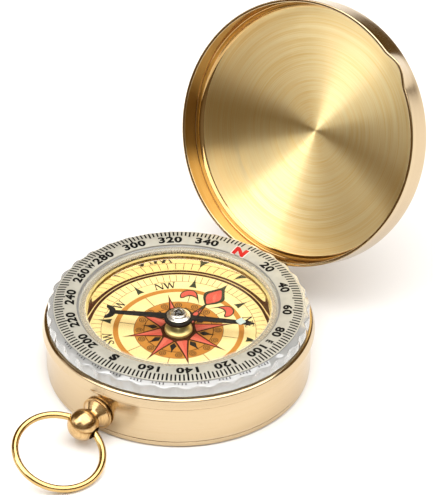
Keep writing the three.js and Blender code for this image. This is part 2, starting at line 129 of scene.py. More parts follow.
def skin(name, grid, loop=True, bands=(), smooth=SHARP_ANGLE):
    """Surface over grid[row, column] in mm. Columns run round, and rows join end to start if loop.
    A row whose points all meet is one pole point. uv = (length along the rows in mm, share of the way round).
    bands gives (first row, row after the last, material index)."""
    n, m = grid.shape[:2]
    index = np.arange(n * m).reshape(n, m)
    poles = np.ptp(grid, axis=1).max(axis=1) < POLE_SPREAD
    index[poles] = index[poles][:, :1]
    rows = np.arange(n if loop else n - 1)
    r0, c0 = np.meshgrid(rows, np.arange(m), indexing="ij")
    r1, c1 = (r0 + 1) % n, (c0 + 1) % m
    line = grid[:, m // 3]
    step = np.linalg.norm(np.diff(np.vstack([line, line[:1]]), axis=0), axis=1)
    along = np.concatenate([[0], np.cumsum(step)])
    corners = np.stack([index[r0, c0], index[r0, c1], index[r1, c1], index[r1, c0]], -1).reshape(-1, 4)
    u0, u1, v0, v1 = along[r0], along[r0 + 1], c0 / m, (c0 + 1) / m
    pairs = [(u0, v0), (u0, v1), (u1, v1), (u1, v0)]
    uv = np.stack([np.stack(pair, -1) for pair in pairs], 2).reshape(-1, 4, 2)
    mat = np.zeros(len(rows), int)
    for first, end, value in bands:
        mat[first:end] = value
    mats = np.repeat(mat, m)
    top = corners[:, 0] == corners[:, 1]
    low = corners[:, 2] == corners[:, 3]
    keep = np.where(top[:, None], [[0, 2, 3]], [[0, 1, 2]])
    tri = top | low
    faces = [list(f) for f in corners[~tri]]
    faces += [list(f) for f in np.take_along_axis(corners[tri], keep[tri], 1)]
    uvs = list(uv[~tri]) + [a[k] for a, k in zip(uv[tri], keep[tri])]
    order = list(mats[~tri]) + list(mats[tri])
    points = grid.reshape(-1, 3)
    if signed_volume(points, faces) < 0:
        faces = [f[::-1] for f in faces]
        uvs = [a[::-1] for a in uvs]
    obj = mesh_from(name, points, faces, uvs, order)
    obj.data.shade_smooth()
    obj.data.set_sharp_from_angle(angle=math.radians(smooth))
    return obj


def rounded(corners, loop=True, steps=4):
    """Profile whose corners (radius, height, rounding) become short curves
    p(t) = (1-t)^2 a + 2t(1-t) corner + t^2 b, with a and b set back by the rounding.
    A held point just outside each curve keeps the straight part beside it shading straight."""
    pts = np.array([c[:2] for c in corners], float)
    sizes = [c[2] if len(c) > 2 else 0 for c in corners]
    out = []
    n = len(pts)
    for i, size in enumerate(sizes):
        if size <= 0 or (not loop and i in (0, n - 1)):
            out.append(pts[i])
            continue
        before, after = pts[i - 1] - pts[i], pts[(i + 1) % n] - pts[i]
        lb, la = np.linalg.norm(before), np.linalg.norm(after)
        a = pts[i] + before / lb * min(size, lb * MOST_SHARE)
        b = pts[i] + after / la * min(size, la * MOST_SHARE)
        if lb > LONG_SIDE * (size + sizes[i - 1]):
            out.append(pts[i] + before / lb * size * HELD)
        for t in np.linspace(0, 1, steps + 1):
            out.append((1 - t) ** 2 * a + 2 * t * (1 - t) * pts[i] + t * t * b)
        if la > LONG_SIDE * (size + sizes[(i + 1) % n]):
            out.append(pts[i] + after / la * size * HELD)
    return np.array(out)


def turn_grid(profile, count=192, push=None):
    """Point (r, z) of the profile at turn w is (r sin w, -r cos w, z); push(w, r, z) moves r outwards."""
    w = TAU * np.arange(count) / count
    r = np.repeat(np.asarray(profile)[:, :1], count, 1)
    z = np.repeat(np.asarray(profile)[:, 1:2], count, 1)
    if push is not None:
        r = r + push(w[None, :], r, z)
    return np.stack([r * np.sin(w), -r * np.cos(w), z], -1)


def turned(name, corners, count=192, loop=True, steps=4):
    """Turned piece from a rounded profile."""
    return skin(name, turn_grid(rounded(corners, loop, steps), count), loop)


def cut(obj, cutter):
    """obj less cutter, with the result applied."""
    modifier = obj.modifiers.new("cut", "BOOLEAN")
    modifier.operation = "DIFFERENCE"
    modifier.solver = "EXACT"
    modifier.object = cutter
    graph = bpy.context.evaluated_depsgraph_get()
    mesh = bpy.data.meshes.new_from_object(obj.evaluated_get(graph))
    obj.modifiers.clear()
    obj.data = mesh
    bpy.data.objects.remove(cutter)
    mesh.shade_smooth()
    mesh.set_sharp_from_angle(angle=math.radians(SHARP_ANGLE))
    return obj


def finish(obj, body, materials, replaced=()):
    """Materials on, riding on its body, standing for the CAD nodes named."""
    for m in materials if isinstance(materials, (list, tuple)) else [materials]:
        obj.data.materials.append(m)
    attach(obj, body)
    if replaced:
        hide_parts(*replaced)
    return obj


# Shader groups

BANDS = 1.1
CLOUDS = 0.08
MIDDLE = (0.3, 0.7)
SCRATCH_LEAN = (0.4, 0.9, 0.3)
SCRATCH_STRETCH = (300.0, 2200.0, 900.0)
SCRATCH_WIDTH = 0.006


class Tree:
    """Short way to add and join shader nodes."""

    def __init__(self, tree):
        self.tree = tree

    def add(self, kind, inputs=(), **props):
        node = self.tree.nodes.new("ShaderNode" + kind)
        for key, value in props.items():
            setattr(node, key, value)
        for key, value in dict(inputs).items():
            self.feed(value, node.inputs[key])
        return node

    def feed(self, value, socket):
        if isinstance(value, bpy.types.NodeSocket):
            self.tree.links.new(value, socket)
        else:
            socket.default_value = value

    def math(self, operation, a, b=0.0, c=0.0, clamp=False):
        node = self.add("Math", operation=operation, use_clamp=clamp)
        for i, value in enumerate((a, b, c)):
            self.feed(value, node.inputs[i])
        return node.outputs[0]

    def noise(self, vector, scale, detail=2.0, rough=0.5):
        inputs = {"Vector": vector, "Scale": scale, "Detail": detail, "Roughness": rough}
        return self.add("TexNoise", inputs).outputs["Fac"]

    def spread(self, value, low, high, to_low=0.0, to_high=1.0):
        inputs = {"Value": value, "From Min": low, "From Max": high, "To Min": to_low, "To Max": to_high}
        return self.add("MapRange", inputs).outputs["Result"]

    def blend(self, share, a, b):
        """Colour a led towards b by share. Sockets 6, 7 and 2 are the colour ones of a Mix node."""
        node = self.add("Mix", data_type="RGBA")
        self.feed(share, node.inputs[0])
        self.feed(a, node.inputs[6])
        self.feed(b, node.inputs[7])
        return node.outputs[2]

    def group(self, group, inputs):
        return self.add("Group", inputs, node_tree=group)


def new_group(name, inputs, outputs):
    """Shader node group with named inputs (name, type, default) and outputs."""
    tree = bpy.data.node_groups.new(name, "ShaderNodeTree")
    for label, kind, default in inputs:
        socket = tree.interface.new_socket(label, in_out="INPUT", socket_type="NodeSocket" + kind)
        if default is not None:
            socket.default_value = default
    for label in outputs:
        tree.interface.new_socket(label, in_out="OUTPUT", socket_type="NodeSocketFloat")
    ends = [tree.nodes.new(kind) for kind in ("NodeGroupInput", "NodeGroupOutput")]
    return tree, Tree(tree), ends[0].outputs, ends[1].inputs


def lathe_group():
    """Lathe marks on a turned piece, from its uv: noise of (u Fine, Drift cos w, Drift sin w),
    where w is the turn, and broader bands by the same noise of (u BANDS, Drift cos w, Drift sin w)."""
    inputs = [("UV", "Vector", None), ("Fine", "Float", 9.0), ("Drift", "Float", 0.8)]
    tree, t, given, out = new_group("lathe_marks", inputs, ["Marks", "Bands", "Height"])
    uv = t.add("SeparateXYZ", {"Vector": given["UV"]})
    w = t.math("MULTIPLY", uv.outputs["Y"], TAU)
    x = t.math("MULTIPLY", t.math("COSINE", w), given["Drift"])
    y = t.math("MULTIPLY", t.math("SINE", w), given["Drift"])
    fine = t.add("CombineXYZ", {"X": t.math("MULTIPLY", uv.outputs["X"], given["Fine"]), "Y": x, "Z": y})
    coarse = t.add("CombineXYZ", {"X": t.math("MULTIPLY", uv.outputs["X"], BANDS), "Y": x, "Z": y})
    marks = t.noise(fine.outputs[0], 1.0, 3.0, 0.65)
    bands = t.noise(coarse.outputs[0], 1.0, 2.0)
    t.feed(t.spread(marks, *MIDDLE), out["Marks"])
    t.feed(t.spread(bands, *MIDDLE), out["Bands"])
    t.feed(marks, out["Height"])
    return tree


def handling_group():
    """Finger haze and hairline scratches: soft noise blotches, and thin lines where a noise
    that is stretched one way crosses its middle."""
    inputs = [("Position", "Vector", None), ("Scale", "Float", 120.0)]
    tree, t, given, out = new_group("handling", inputs, ["Haze", "Scratches"])
    haze = t.noise(given["Position"], given["Scale"], 4.0, 0.6)
    stretch = {"Vector": given["Position"], "Rotation": SCRATCH_LEAN, "Scale": SCRATCH_STRETCH}
    line = t.noise(t.add("Mapping", stretch).outputs[0], 1.0, 1.0)
    thin = t.math("ABSOLUTE", t.math("SUBTRACT", line, 0.5))
    t.feed(t.spread(haze, 0.35, 0.68), out["Haze"])
    t.feed(t.spread(thin, 0.0, SCRATCH_WIDTH, 1.0, 0.0), out["Scratches"])
    return tree


def grain_group():
    """Fine even grain of paper, paint, rubber or moulded plastic, and its softer, broader clouds."""
    inputs = [("Position", "Vector", None), ("Scale", "Float", 4000.0)]
    tree, t, given, out = new_group("grain", inputs, ["Fine", "Soft", "Height"])
    fine = t.noise(given["Position"], given["Scale"], 3.0, 0.6)
    soft = t.noise(given["Position"], t.math("MULTIPLY", given["Scale"], CLOUDS), 2.0)
    t.feed(t.spread(fine, *MIDDLE), out["Fine"])
    t.feed(t.spread(soft, 0.35, 0.65), out["Soft"])
    t.feed(fine, out["Height"])
    return tree


LATHE = lathe_group()
HANDLING = handling_group()
GRAIN = grain_group()


# Materials

# Metal: the fine marks' share, and how far haze and scratches move its tone and roughness
MARKS_SHARE = 0.65
HAZE_TONE = 0.06
HAZE_ROUGH = 0.03
SCRATCH_ROUGH = 0.05

# Paint: how far clouds and grain move its tone, and grain and haze its roughness
CLOUD_TONE = 0.5
GRAIN_TONE = 0.22
GRAIN_ROUGH = 0.1
PAINT_HAZE = 0.05

HAZE_TINT = (0.96, 0.96, 0.95, 1.0)
COAT_IOR = 1.8
ACRYLIC = 1.49
GLASS = 1.55


def new_material(name):
    """Material with an emptied node tree, the tree and the socket for its surface."""
    material = bpy.data.materials.new(name)
    material.use_nodes = True
    material.node_tree.nodes.clear()
    t = Tree(material.node_tree)
    out = t.add("OutputMaterial")
    return material, t, out.inputs["Surface"]


def rgb(colour):
    """Linear colour from 0-255 screen values."""
    parts = [c / 255 for c in colour]
    return (*[c / 12.92 if c <= 10 / 255 else ((c + 0.055) / 1.055) ** 2.4 for c in parts], 1.0)


def bump(t, height, distance, strength):
    """Normal that follows height, distance mm deep."""
    node = t.add("Bump", {"Height": height, "Strength": strength, "Distance": distance * MM})
    return node.outputs["Normal"]


def handled(t, scale=120.0):
    """Haze and Scratches of the handling group, on Object coordinates."""
    place = t.add("TexCoord")
    return t.group(HANDLING, {"Position": place.outputs["Object"], "Scale": scale}).outputs


def metal(name, colour, deep, rough, marks=0.1, fine=9.0, across=0.0, depth=0.002):
    """Turned metal: lathe marks, MARKS_SHARE of them fine and the rest broad, vary its colour and roughness
    and give it relief, and handling leaves haze and hairlines.
    across is the anisotropy, with the rough direction along u, across the marks."""
    material, t, surface = new_material(name)
    colour, deep = rgb(colour), rgb(deep)
    uv = t.add("UVMap", uv_map="UVMap")
    lathe = t.group(LATHE, {"UV": uv.outputs[0], "Fine": fine}).outputs
    worn = handled(t)
    broad = t.math("MULTIPLY", lathe["Bands"], 1 - MARKS_SHARE)
    share = t.math("ADD", t.math("MULTIPLY", lathe["Marks"], MARKS_SHARE), broad)
    toned = t.blend(t.spread(share, 0.2, 0.9, 0.0, min(1.0, marks * 5)), colour, deep)
    base = t.blend(t.math("MULTIPLY", worn["Haze"], HAZE_TONE), toned, deep)
    r = t.math("ADD", rough, t.math("MULTIPLY", t.math("SUBTRACT", share, 0.5), marks))
    r = t.math("ADD", r, t.math("MULTIPLY", worn["Haze"], HAZE_ROUGH))
    r = t.math("ADD", r, t.math("MULTIPLY", worn["Scratches"], SCRATCH_ROUGH), clamp=True)
    shader = t.add("BsdfPrincipled", {"Metallic": 1.0, "Base Color": base, "Roughness": r})
    t.feed(bump(t, lathe["Height"], depth, 0.6), shader.inputs["Normal"])
    if across:
        tangent = t.add("Tangent", direction_type="UV_MAP", uv_map="UVMap")
        t.feed(across, shader.inputs["Anisotropic"])
        t.feed(tangent.outputs[0], shader.inputs["Tangent"])
    t.feed(shader.outputs[0], surface)
    return material


def painted(name, colour, other, rough, grain=4000.0, depth=0.004, metallic=0.0, gloss=0.5):
    """Paint, paper, rubber, plain metal or moulded plastic with fine grain: its clouds and its grain lead the
    colour some way to the other one, and grain and haze vary the roughness."""
    material, t, surface = new_material(name)
    colour, other = rgb(colour), rgb(other)
    place = t.add("TexCoord")
    g = t.group(GRAIN, {"Position": place.outputs["Object"], "Scale": grain}).outputs
    worn = handled(t, 160.0)
    base = t.blend(t.math("MULTIPLY", g["Soft"], CLOUD_TONE), colour, other)
    base = t.blend(t.math("MULTIPLY", g["Fine"], GRAIN_TONE), base, other)
    r = t.math("ADD", rough, t.math("MULTIPLY", t.math("SUBTRACT", g["Fine"], 0.5), GRAIN_ROUGH))
    r = t.math("ADD", r, t.math("MULTIPLY", worn["Haze"], PAINT_HAZE), clamp=True)
    inputs = {"Base Color": base, "Roughness": r, "Metallic": metallic, "Specular IOR Level": gloss}
    shader = t.add("BsdfPrincipled", inputs)
    t.feed(bump(t, g["Height"], depth, 0.5), shader.inputs["Normal"])
    t.feed(shader.outputs[0], surface)
    return material


def ink(name, colour, other, rough=0.45, gloss=0.15):
    """Printing ink: shallow fine grain and little shine."""
    return painted(name, colour, other, rough, 6000.0, 0.002, gloss=gloss)


def clear(name, tint, ior, rough=0.0, haze=0.02, shade=0.92, milk=0.0, mirror=1.0, coat=0.0):
    """Clear plastic or glass, with milk as the share that scatters and coat as a shine on top. Shadow and
    diffuse rays pass it, dimmed to shade, so that what lies under it is lit. With mirror under 1, that share
    is the whole glass and the rest is refraction alone, so that the surface mirrors less."""
    material, t, surface = new_material(name)
    worn = handled(t)
    r = t.math("ADD", rough, t.math("MULTIPLY", worn["Haze"], haze))
    r = t.math("ADD", r, t.math("MULTIPLY", worn["Scratches"], haze), clamp=True)
    base = t.blend(t.math("MULTIPLY", worn["Haze"], 0.3), tint, HAZE_TINT)
    inputs = {"Base Color": base, "Roughness": r, "IOR": ior, "Transmission Weight": 1.0 - milk,
              "Coat Weight": coat, "Coat IOR": COAT_IOR, "Coat Roughness": 0.02}
    body = t.add("BsdfPrincipled", inputs).outputs[0]
    if mirror < 1.0:
        bent = t.add("BsdfRefraction", {"Color": base, "Roughness": r, "IOR": ior}).outputs[0]
        body = t.add("MixShader", {0: mirror, 1: bent, 2: body}).outputs[0]
    through = t.add("BsdfTransparent", {"Color": (shade, shade, shade, 1.0)}).outputs[0]
    path = t.add("LightPath").outputs
    soft = t.math("MAXIMUM", path["Is Shadow Ray"], path["Is Diffuse Ray"])
    t.feed(t.add("MixShader", {0: soft, 1: body, 2: through}).outputs[0], surface)
    return material


def film(name, tint, rough, cover):
    """Thin clear edge: a little of its own pale tone over what lies behind, with handling haze."""
    material, t, surface = new_material(name)
    worn = handled(t)
    r = t.math("ADD", rough, t.math("MULTIPLY", worn["Haze"], PAINT_HAZE), clamp=True)
    a = t.math("ADD", cover, t.math("MULTIPLY", worn["Haze"], 0.08), clamp=True)
    shader = t.add("BsdfPrincipled", {"Base Color": rgb(tint), "Roughness": r, "Alpha": a, "IOR": ACRYLIC})
    t.feed(shader.outputs[0], surface)
    return material


BRASS = (202, 182, 150)
BRASS_DEEP = (186, 156, 110)
SPUN = (247, 230, 180)
SPUN_DEEP = (237, 205, 131)
GOLD = (214, 182, 120)
GOLD_DEEP = (156, 112, 58)
STEEL = (190, 190, 186)
PEWTER = (186, 184, 172)

MAT = {
    "case": metal("satin_brass", BRASS, BRASS_DEEP, 0.16, marks=0.06, fine=14.0, across=0.5),
    "rim": metal("polished_rim", BRASS, GOLD, 0.12, marks=0.04, fine=10.0),
    "floor": metal("spun_brass", SPUN, SPUN_DEEP, 0.35, marks=0.16, fine=6.0, across=1.0, depth=0.004),
    # Inner wall of the lid: a darker, browner copy of the lid's brass, painted shade for the cup's shaded
    # inner wall
    "lid_wall": metal("lid_wall_brass_painted_shade", (192, 158, 104), (140, 96, 48), 0.09, marks=0.05, fine=8.0, across=0.3),
    "back": metal("lid_back_brass", BRASS, BRASS_DEEP, 0.13, marks=0.05, fine=9.0, across=0.4),
    "dome": metal("lid_dome_brass", BRASS, BRASS_DEEP, 0.3, marks=0.08, fine=9.0, across=0.4),
    "knob": metal("turned_knob", (220, 188, 136), (150, 110, 62), 0.2, marks=0.14, fine=9.0, across=0.5),
    "wire": metal("drawn_wire", GOLD, GOLD_DEEP, 0.14, marks=0.05, fine=3.0),
    "reflector": metal("polished_reflector", (248, 242, 226), (240, 228, 200), 0.03, 0.01, 2.0, depth=0.0002),
    "boss": metal("boss_brass", (222, 204, 140), (196, 170, 100), 0.5, marks=0.08, fine=8.0),
    "silver": metal("silver_plate", (232, 230, 224), (206, 204, 198), 0.26, marks=0.05, fine=10.0),
    "plain_brass": painted("plain_brass", BRASS, BRASS_DEEP, 0.24, 3000.0, 0.002, metallic=1.0),
    "plain_steel": painted("plain_steel", STEEL, (165, 165, 162), 0.28, 3000.0, 0.002, metallic=1.0),
    "scale": painted("scale_silver_print", PEWTER, (168, 166, 155), 0.45, 9000.0, 0.002, metallic=0.25),
    "paper": painted("dial_paper", (244, 222, 158), (238, 208, 138), 0.5, 6000.0, 0.003, gloss=0.2),
    "orange": ink("ink_orange", (192, 132, 58), (178, 114, 44)),
    "brown": ink("ink_brown", (70, 36, 18), (52, 26, 12), 0.4),
    "tan": ink("ink_tan", (126, 86, 46), (104, 66, 34)),
    "black": ink("ink_black", (34, 31, 28), (20, 18, 16), 0.4),
    "green": ink("ink_dark_green", (56, 60, 42), (38, 42, 30), 0.4),
    "red": ink("ink_red", (206, 94, 76), (190, 76, 58)),
    "coral": ink("ink_coral", (214, 112, 90), (200, 94, 74)),
    "scale_black": ink("scale_ink", (16, 16, 16), (24, 23, 22), 0.35, gloss=0.05),
    "scale_red": ink("scale_ink_red", (186, 40, 34), (166, 28, 24), 0.35),
    "scale_pale": ink("scale_ink_pale", (214, 212, 204), (206, 204, 196), 0.35),
    "enamel": painted("needle_enamel", (14, 12, 11), (22, 20, 18), 0.45, 5000.0, gloss=0.25),
    "lume": painted("lume_paint", (186, 202, 194), (170, 190, 182), 0.6, 7000.0, 0.006),
    "rubber": painted("seal_silicone", (230, 210, 138), (214, 190, 112), 0.6, 3000.0, 0.002),
    "moulded": painted("moulded_plastic", (222, 220, 210), (206, 203, 192), 0.55, 2500.0),
    "crystal": clear("crystal_acrylic", (1.0, 1.0, 1.0, 1.0), ACRYLIC, haze=0.003, shade=0.97, mirror=0.25),
    "bezel": clear("bezel_plastic", (0.74, 0.77, 0.78, 1.0), ACRYLIC, rough=0.02, milk=0.34, coat=1.0),
    "flange": film("clear_flange", (226, 220, 198), 0.12, 0.22),
    "jewel": clear("jewel_glass", (0.98, 0.98, 0.98, 1.0), GLASS, haze=0.004),
}


# Case

WALL_FOOT = 1.37
GROOVE_R = 24.1
GROOVE_LOW = 8.6
RECESS_R = 23.6
LEDGE_R = 17.9
LEDGE_LOW = 9.8
LEDGE_TOP = 10.6
BASE_R = 24.18
BASE_EDGE = 1.25
SPIGOT_R = 23.4
SPIGOT_IN = 22.6
SPIGOT_TOP = 2.15
SHEET = 0.8

# Room for the hinge in the wall, and the hole for the crown's stem
ROOM_HALF = 4.65
ROOM_R = 1.25
ROOM_TOP = 12.1
ROOM_LOW = 8.8
ROOM_IN = 24.42
STEM_HOLE_R = 1.3

# Crown and bow ring
BALL_R = 2.9
BALL_BORE_R = 1.35
NECK_R = 1.5
STEM_R = 1.2
COLLAR_R = 3.1
COLLAR_Y = -24.4
CONE_R = 2.75
CONE_Y = -24.85
BOW_R = 7.93
WIRE_R = 0.65
BOW_PLAY = 0.2
BOW_LEAN = math.radians(6.4)
BOW_SLIP = math.radians(5.3)


def block(name, x0, x1, y0, y1, z0, z1):
    """Plain box between its six sides, used only as a cutter."""
    x, y, z = np.meshgrid([x0, x1], [y0, y1], [z0, z1], indexing="ij")
    points = np.stack([x.ravel(), y.ravel(), z.ravel()], -1)
    faces = [[0, 1, 3, 2], [4, 6, 7, 5], [0, 4, 5, 1], [2, 3, 7, 6], [0, 2, 6, 4], [1, 5, 7, 3]]
    return mesh_from(name, points, faces)


def bar(name, start, end, radius, count=48):
    """Closed round bar, used only as a cutter: start and end + radius (a cos w + b sin w),
    with a and b square to the bar."""
    start, end = np.array(start, float), np.array(end, float)
    d = (end - start) / np.linalg.norm(end - start)
    a = np.cross(d, [0, 0, 1.0])
    a /= np.linalg.norm(a)
    b = np.cross(d, a)
    w = TAU * np.arange(count) / count
    ring = radius * (np.cos(w)[:, None] * a + np.sin(w)[:, None] * b)
    rows = [np.repeat(start[None], count, 0), start + ring, end + ring, np.repeat(end[None], count, 0)]
    return skin(name, np.stack(rows), loop=False)


def case_wall():
    """Drum wall, a fine groove, the rolled rim bead above it and the ledge inside, turned from one profile,
    with room for the hinge at the back and a hole for the crown's stem in front."""
    corners = [
        (WALL_IN, WALL_FOOT, 0.1),
        (WALL_R, WALL_FOOT, 0.15),
        (WALL_R, GROOVE_LOW, 0.05),
        (GROOVE_R, GROOVE_LOW + 0.06, 0.03),
        (GROOVE_R, RIM_LOW, 0.03),
        (RIM_R - 0.3, RIM_LOW, 0.05),
        (RIM_R, 9.2, 0.2),
        (24.98, 9.5, 0.2),
        (24.62, 10.85, 0.14),
        (WALL_R, RIM_TOP, 0.1),
        (RECESS_R, RIM_TOP, 0.12),
        (RECESS_R, LEDGE_TOP, 0.05),
        (LEDGE_R, LEDGE_TOP, 0.05),
        (LEDGE_R, LEDGE_LOW, 0.05),
        (WALL_IN, LEDGE_LOW, 0.1),
    ]
    wall = turned("case_wall", corners, 256)
    half, r = ROOM_HALF, ROOM_R
    wall = cut(wall, bar("room", (-half, HINGE_Y, HINGE_Z), (half, HINGE_Y, HINGE_Z), r))
    wall = cut(wall, block("above", -half, half, HINGE_Y - r, HINGE_Y + r, HINGE_Z, ROOM_TOP))
    wall = cut(wall, block("below", -half, half, ROOM_IN, HINGE_Y + 1.3, ROOM_LOW, HINGE_Z))
    wall = cut(wall, bar("hole", (0, -26, CROWN_Z), (0, -22.5, CROWN_Z), STEM_HOLE_R))
    return finish(wall, "case", MAT["case"], ["case_shell"])


def case_base():
    """Pressed cover: flat base with a rounded edge and a spigot inside the wall."""
    corners = [
        (0, 0),
        (12, 0),
        (BASE_R, 0, 0.95),
        (BASE_R, BASE_EDGE, 0.12),
        (SPIGOT_R, BASE_EDGE, 0.05),
        (SPIGOT_R, SPIGOT_TOP, 0.05),
        (SPIGOT_IN, SPIGOT_TOP, 0.05),
        (SPIGOT_IN, SHEET, 0.1),
        (0, SHEET),
    ]
    base = turned("case_base", corners, 256, loop=False, steps=6)
    return finish(base, "case", MAT["case"], ["base_plate"])


def crown():
    """Collar, cone and ball turned about a line towards -Y, with the ring's hole across the ball."""
    neck = CROWN_Y + math.sqrt(BALL_R ** 2 - NECK_R ** 2)
    corners = rounded([
        (0, -22.2),
        (STEM_R, -22.2, 0.1),
        (STEM_R, COLLAR_Y, 0.05),
        (COLLAR_R, COLLAR_Y, 0.12),
        (COLLAR_R, CONE_Y, 0.14),
        (CONE_R, CONE_Y, 0.05),
        (NECK_R + 0.12, neck + 0.25, 0.3),
        (NECK_R, neck, 0.05),
    ], loop=False)
    w = np.linspace(math.acos(NECK_R / BALL_R), -math.pi / 2, 40)[1:]
    ball = np.stack([BALL_R * np.cos(w), CROWN_Y + BALL_R * np.sin(w)], -1)
    ball[-1, 0] = 0
    grid = turn_grid(np.vstack([corners, ball]), 96)
    grid = np.stack([grid[..., 0], grid[..., 2], grid[..., 1] + CROWN_Z], -1)
    knob = skin("crown_knob", grid, loop=False)
    across = 4 * np.array([math.cos(CROWN_TURN), 0, -math.sin(CROWN_TURN)])
    middle = np.array([0, CROWN_Y, CROWN_Z])
    knob = cut(knob, bar("bore", middle - across, middle + across, BALL_BORE_R))
    return finish(knob, "case", MAT["knob"], ["crown"])


def bow():
    """Wire ring: (R + a cos q)(sin w, cos w) in its own plane, turned and hung in the ball."""
    w = TAU * np.arange(160) / 160
    q = TAU * np.arange(20) / 20
    ww, qq = np.meshgrid(w, q)
    r = BOW_R + WIRE_R * np.cos(qq)
    p = np.stack([r * np.sin(ww), r * np.cos(ww) + BOW_PLAY - BOW_R, WIRE_R * np.sin(qq)], -1)
    turns = [(CROWN_TURN, "Y"), (BOW_LEAN, "X"), (BOW_SLIP, "Z")]
    first, second, third = [Matrix.Rotation(angle, 3, axis) for angle, axis in turns]
    p = p @ np.array(first @ second @ third).T + np.array([0, CROWN_Y, CROWN_Z])
    return finish(skin("bow_wire", p), "bow", MAT["wire"], ["bow_ring"])


# Lid

LID_R = RIM_R
LID_IN = 24.4
LID_WALL = 4.9
LID_CORNER_R = 1.0
FILLET_R = 1.3
FILLET_AT = 22.98
FILLET_DROP = 0.95
LEDGE_DROP = 1.1
WALL_POINTS = 11
FLOOR_RISE = 2.2
BACK_RISE = 3.35
POLE_RING = 0.12

# Thumb bulge: how far it swells, its turn and half width in degrees, its height, and the radius
# from which it fades in
BULGE_OUT = 0.9
BULGE_TURN = 42
BULGE_HALF = 10
BULGE_RISE = 4.4
BULGE_IN = 23.3
BULGE_FADE = 0.7


def opened(points):
    """Points of the closed lid, turned open about the hinge pin."""
    y, z = points[..., 1] - HINGE_Y, points[..., 2] - HINGE_Z
    c, s = math.cos(LID_OPEN), math.sin(LID_OPEN)
    return np.stack([points[..., 0], HINGE_Y + y * c + z * s, HINGE_Z - y * s + z * c], -1)


def arc(cr, cz, radius, a0, a1, steps):
    """(cr + radius cos a, cz + radius sin a) for a from a0 to a1 degrees."""
    a = np.radians(np.linspace(a0, a1, steps + 1))
    return np.stack([cr + radius * np.cos(a), cz + radius * np.sin(a)], -1)


def dome(radius, base, height, steps):
    """z = base + height (1 - (r / radius)^2), from the axis out."""
    r = radius * np.linspace(0, 1, steps + 1)
    return np.stack([r, base + height * (1 - (r / radius) ** 2)], -1)


def lid():
    """Pressed cup with a domed back, as one profile: domed floor, corner fillet with a small ledge under it,
    wall, rolled edge, outside wall, outer corner and domed back, in five materials, where the inner wall's
    darker, browner brass is painted shade.
    At the thumb bulge the wall swells by BULGE_OUT cos^2(pi s / 2)(1 - rise), where s is the turn from the
    bulge's middle in half widths and rise goes from 0 at the rim to 1 at BULGE_RISE above it."""
    top = LID_LOW + LID_WALL
    ledge = [[LID_IN - 0.1, top - 1.05], [LID_IN, top - LEDGE_DROP]]
    inner = np.vstack([arc(FILLET_AT, top - FILLET_DROP, FILLET_R, 78, 0, 12), ledge])
    outer = arc(LID_R - LID_CORNER_R, top, LID_CORNER_R, 0, 75, 10)
    floor = dome(inner[0, 0], inner[0, 1], FLOOR_RISE, 40)[:-1]
    floor[1:6, 0] = np.linspace(POLE_RING, floor[6, 0], 6)[:5]
    floor[1:6, 1] = inner[0, 1] + FLOOR_RISE * (1 - (floor[1:6, 0] / inner[0, 0]) ** 2)
    wall_z = np.linspace(top - LEDGE_DROP, LID_LOW + 0.2, WALL_POINTS + 1)[1:]
    wall_in = np.stack([np.full(WALL_POINTS, LID_IN), wall_z], -1)
    edge = rounded([
        (LID_IN, LID_LOW + 0.2),
        (LID_IN, LID_LOW, 0.18),
        (LID_R, LID_LOW, 0.22),
        (LID_R, LID_LOW + 0.25),
    ], loop=False)[1:]
    wall_out = np.stack([np.full(WALL_POINTS, LID_R), wall_z[::-1]], -1)[1:]
    back = dome(outer[-1, 0], outer[-1, 1], BACK_RISE, 40)[::-1][1:]
    profile = np.vstack([floor, inner, wall_in, edge, wall_out, outer, back])

    def bulge(turn, r, z):
        side = np.abs((np.degrees(turn) + 180) % 360 - 180 - BULGE_TURN) / BULGE_HALF
        rise = np.clip((z - LID_LOW) / BULGE_RISE, 0, 1)
        amount = BULGE_OUT * np.cos(np.clip(side, 0, 1) * math.pi / 2) ** 2 * (1 - rise)
        return amount * np.clip((r - BULGE_IN) / BULGE_FADE, 0, 1)

    grid = opened(turn_grid(profile, 360, bulge))
    wall_row = len(floor) + 1
    edge_row = len(floor) + len(inner) + len(wall_in) - 1
    outside_row = edge_row + len(edge) + 3
    back_row = len(profile) - len(back) + 2
    starts = [wall_row, edge_row, outside_row, back_row, len(profile)]
    bands = [(starts[i], starts[i + 1], i + 1) for i in range(4)]
    shell = skin("lid_cup", grid, loop=False, bands=bands, smooth=ROUND_ANGLE)
    metals = [MAT[key] for key in ("floor", "lid_wall", "rim", "back", "dome")]
    return finish(shell, "lid", metals, ["lid_shell"])


# Bezel

CREST_Z = 14.3
CREST_R = 20.4
CREST_FALL = 0.05
BEZEL_LOW = 11.3
BEZEL_LIP = 18.1
SHOULDER_Z = 13.2
GRIP_FOOT_R = 23.0
GRIP_TOP = 13.3
GRIP_EDGE_Z = 13.78
CLEAR_DROP = 0.25
BAND_THICK = 0.15
SCALLOPS = 36
SCALLOP_DEPTH = 0.45
FADE_HEIGHT = 1.6
FADE_LEAST = 0.14

# Scale print: its slip anticlockwise in degrees, its height over the band and its radii.
# A tick has its inner radius and its half widths at both ends.
SCALE_SLIP = 0.9
INK_LIFT = 0.012
TICK_R = 22.68
LONG_TICK = (20.85, 0.17, 0.18)
SHORT_TICK = (21.15, 0.155, 0.165)
# Height and fall of the dark flecks that paint the ticks' image in the clear plastic
PAINTED_IMAGE_Z = 13.83
PAINTED_IMAGE_FALL = 0.43
FIGURE_R = 19.95
POLES_R = 19.75
TEXT_STRIP = 0.22


def crest(r):
    """Height of the bezel's crowned top, which falls with the square of the way from CREST_R."""
    return CREST_Z - CREST_FALL * (np.asarray(r) - CREST_R) ** 2


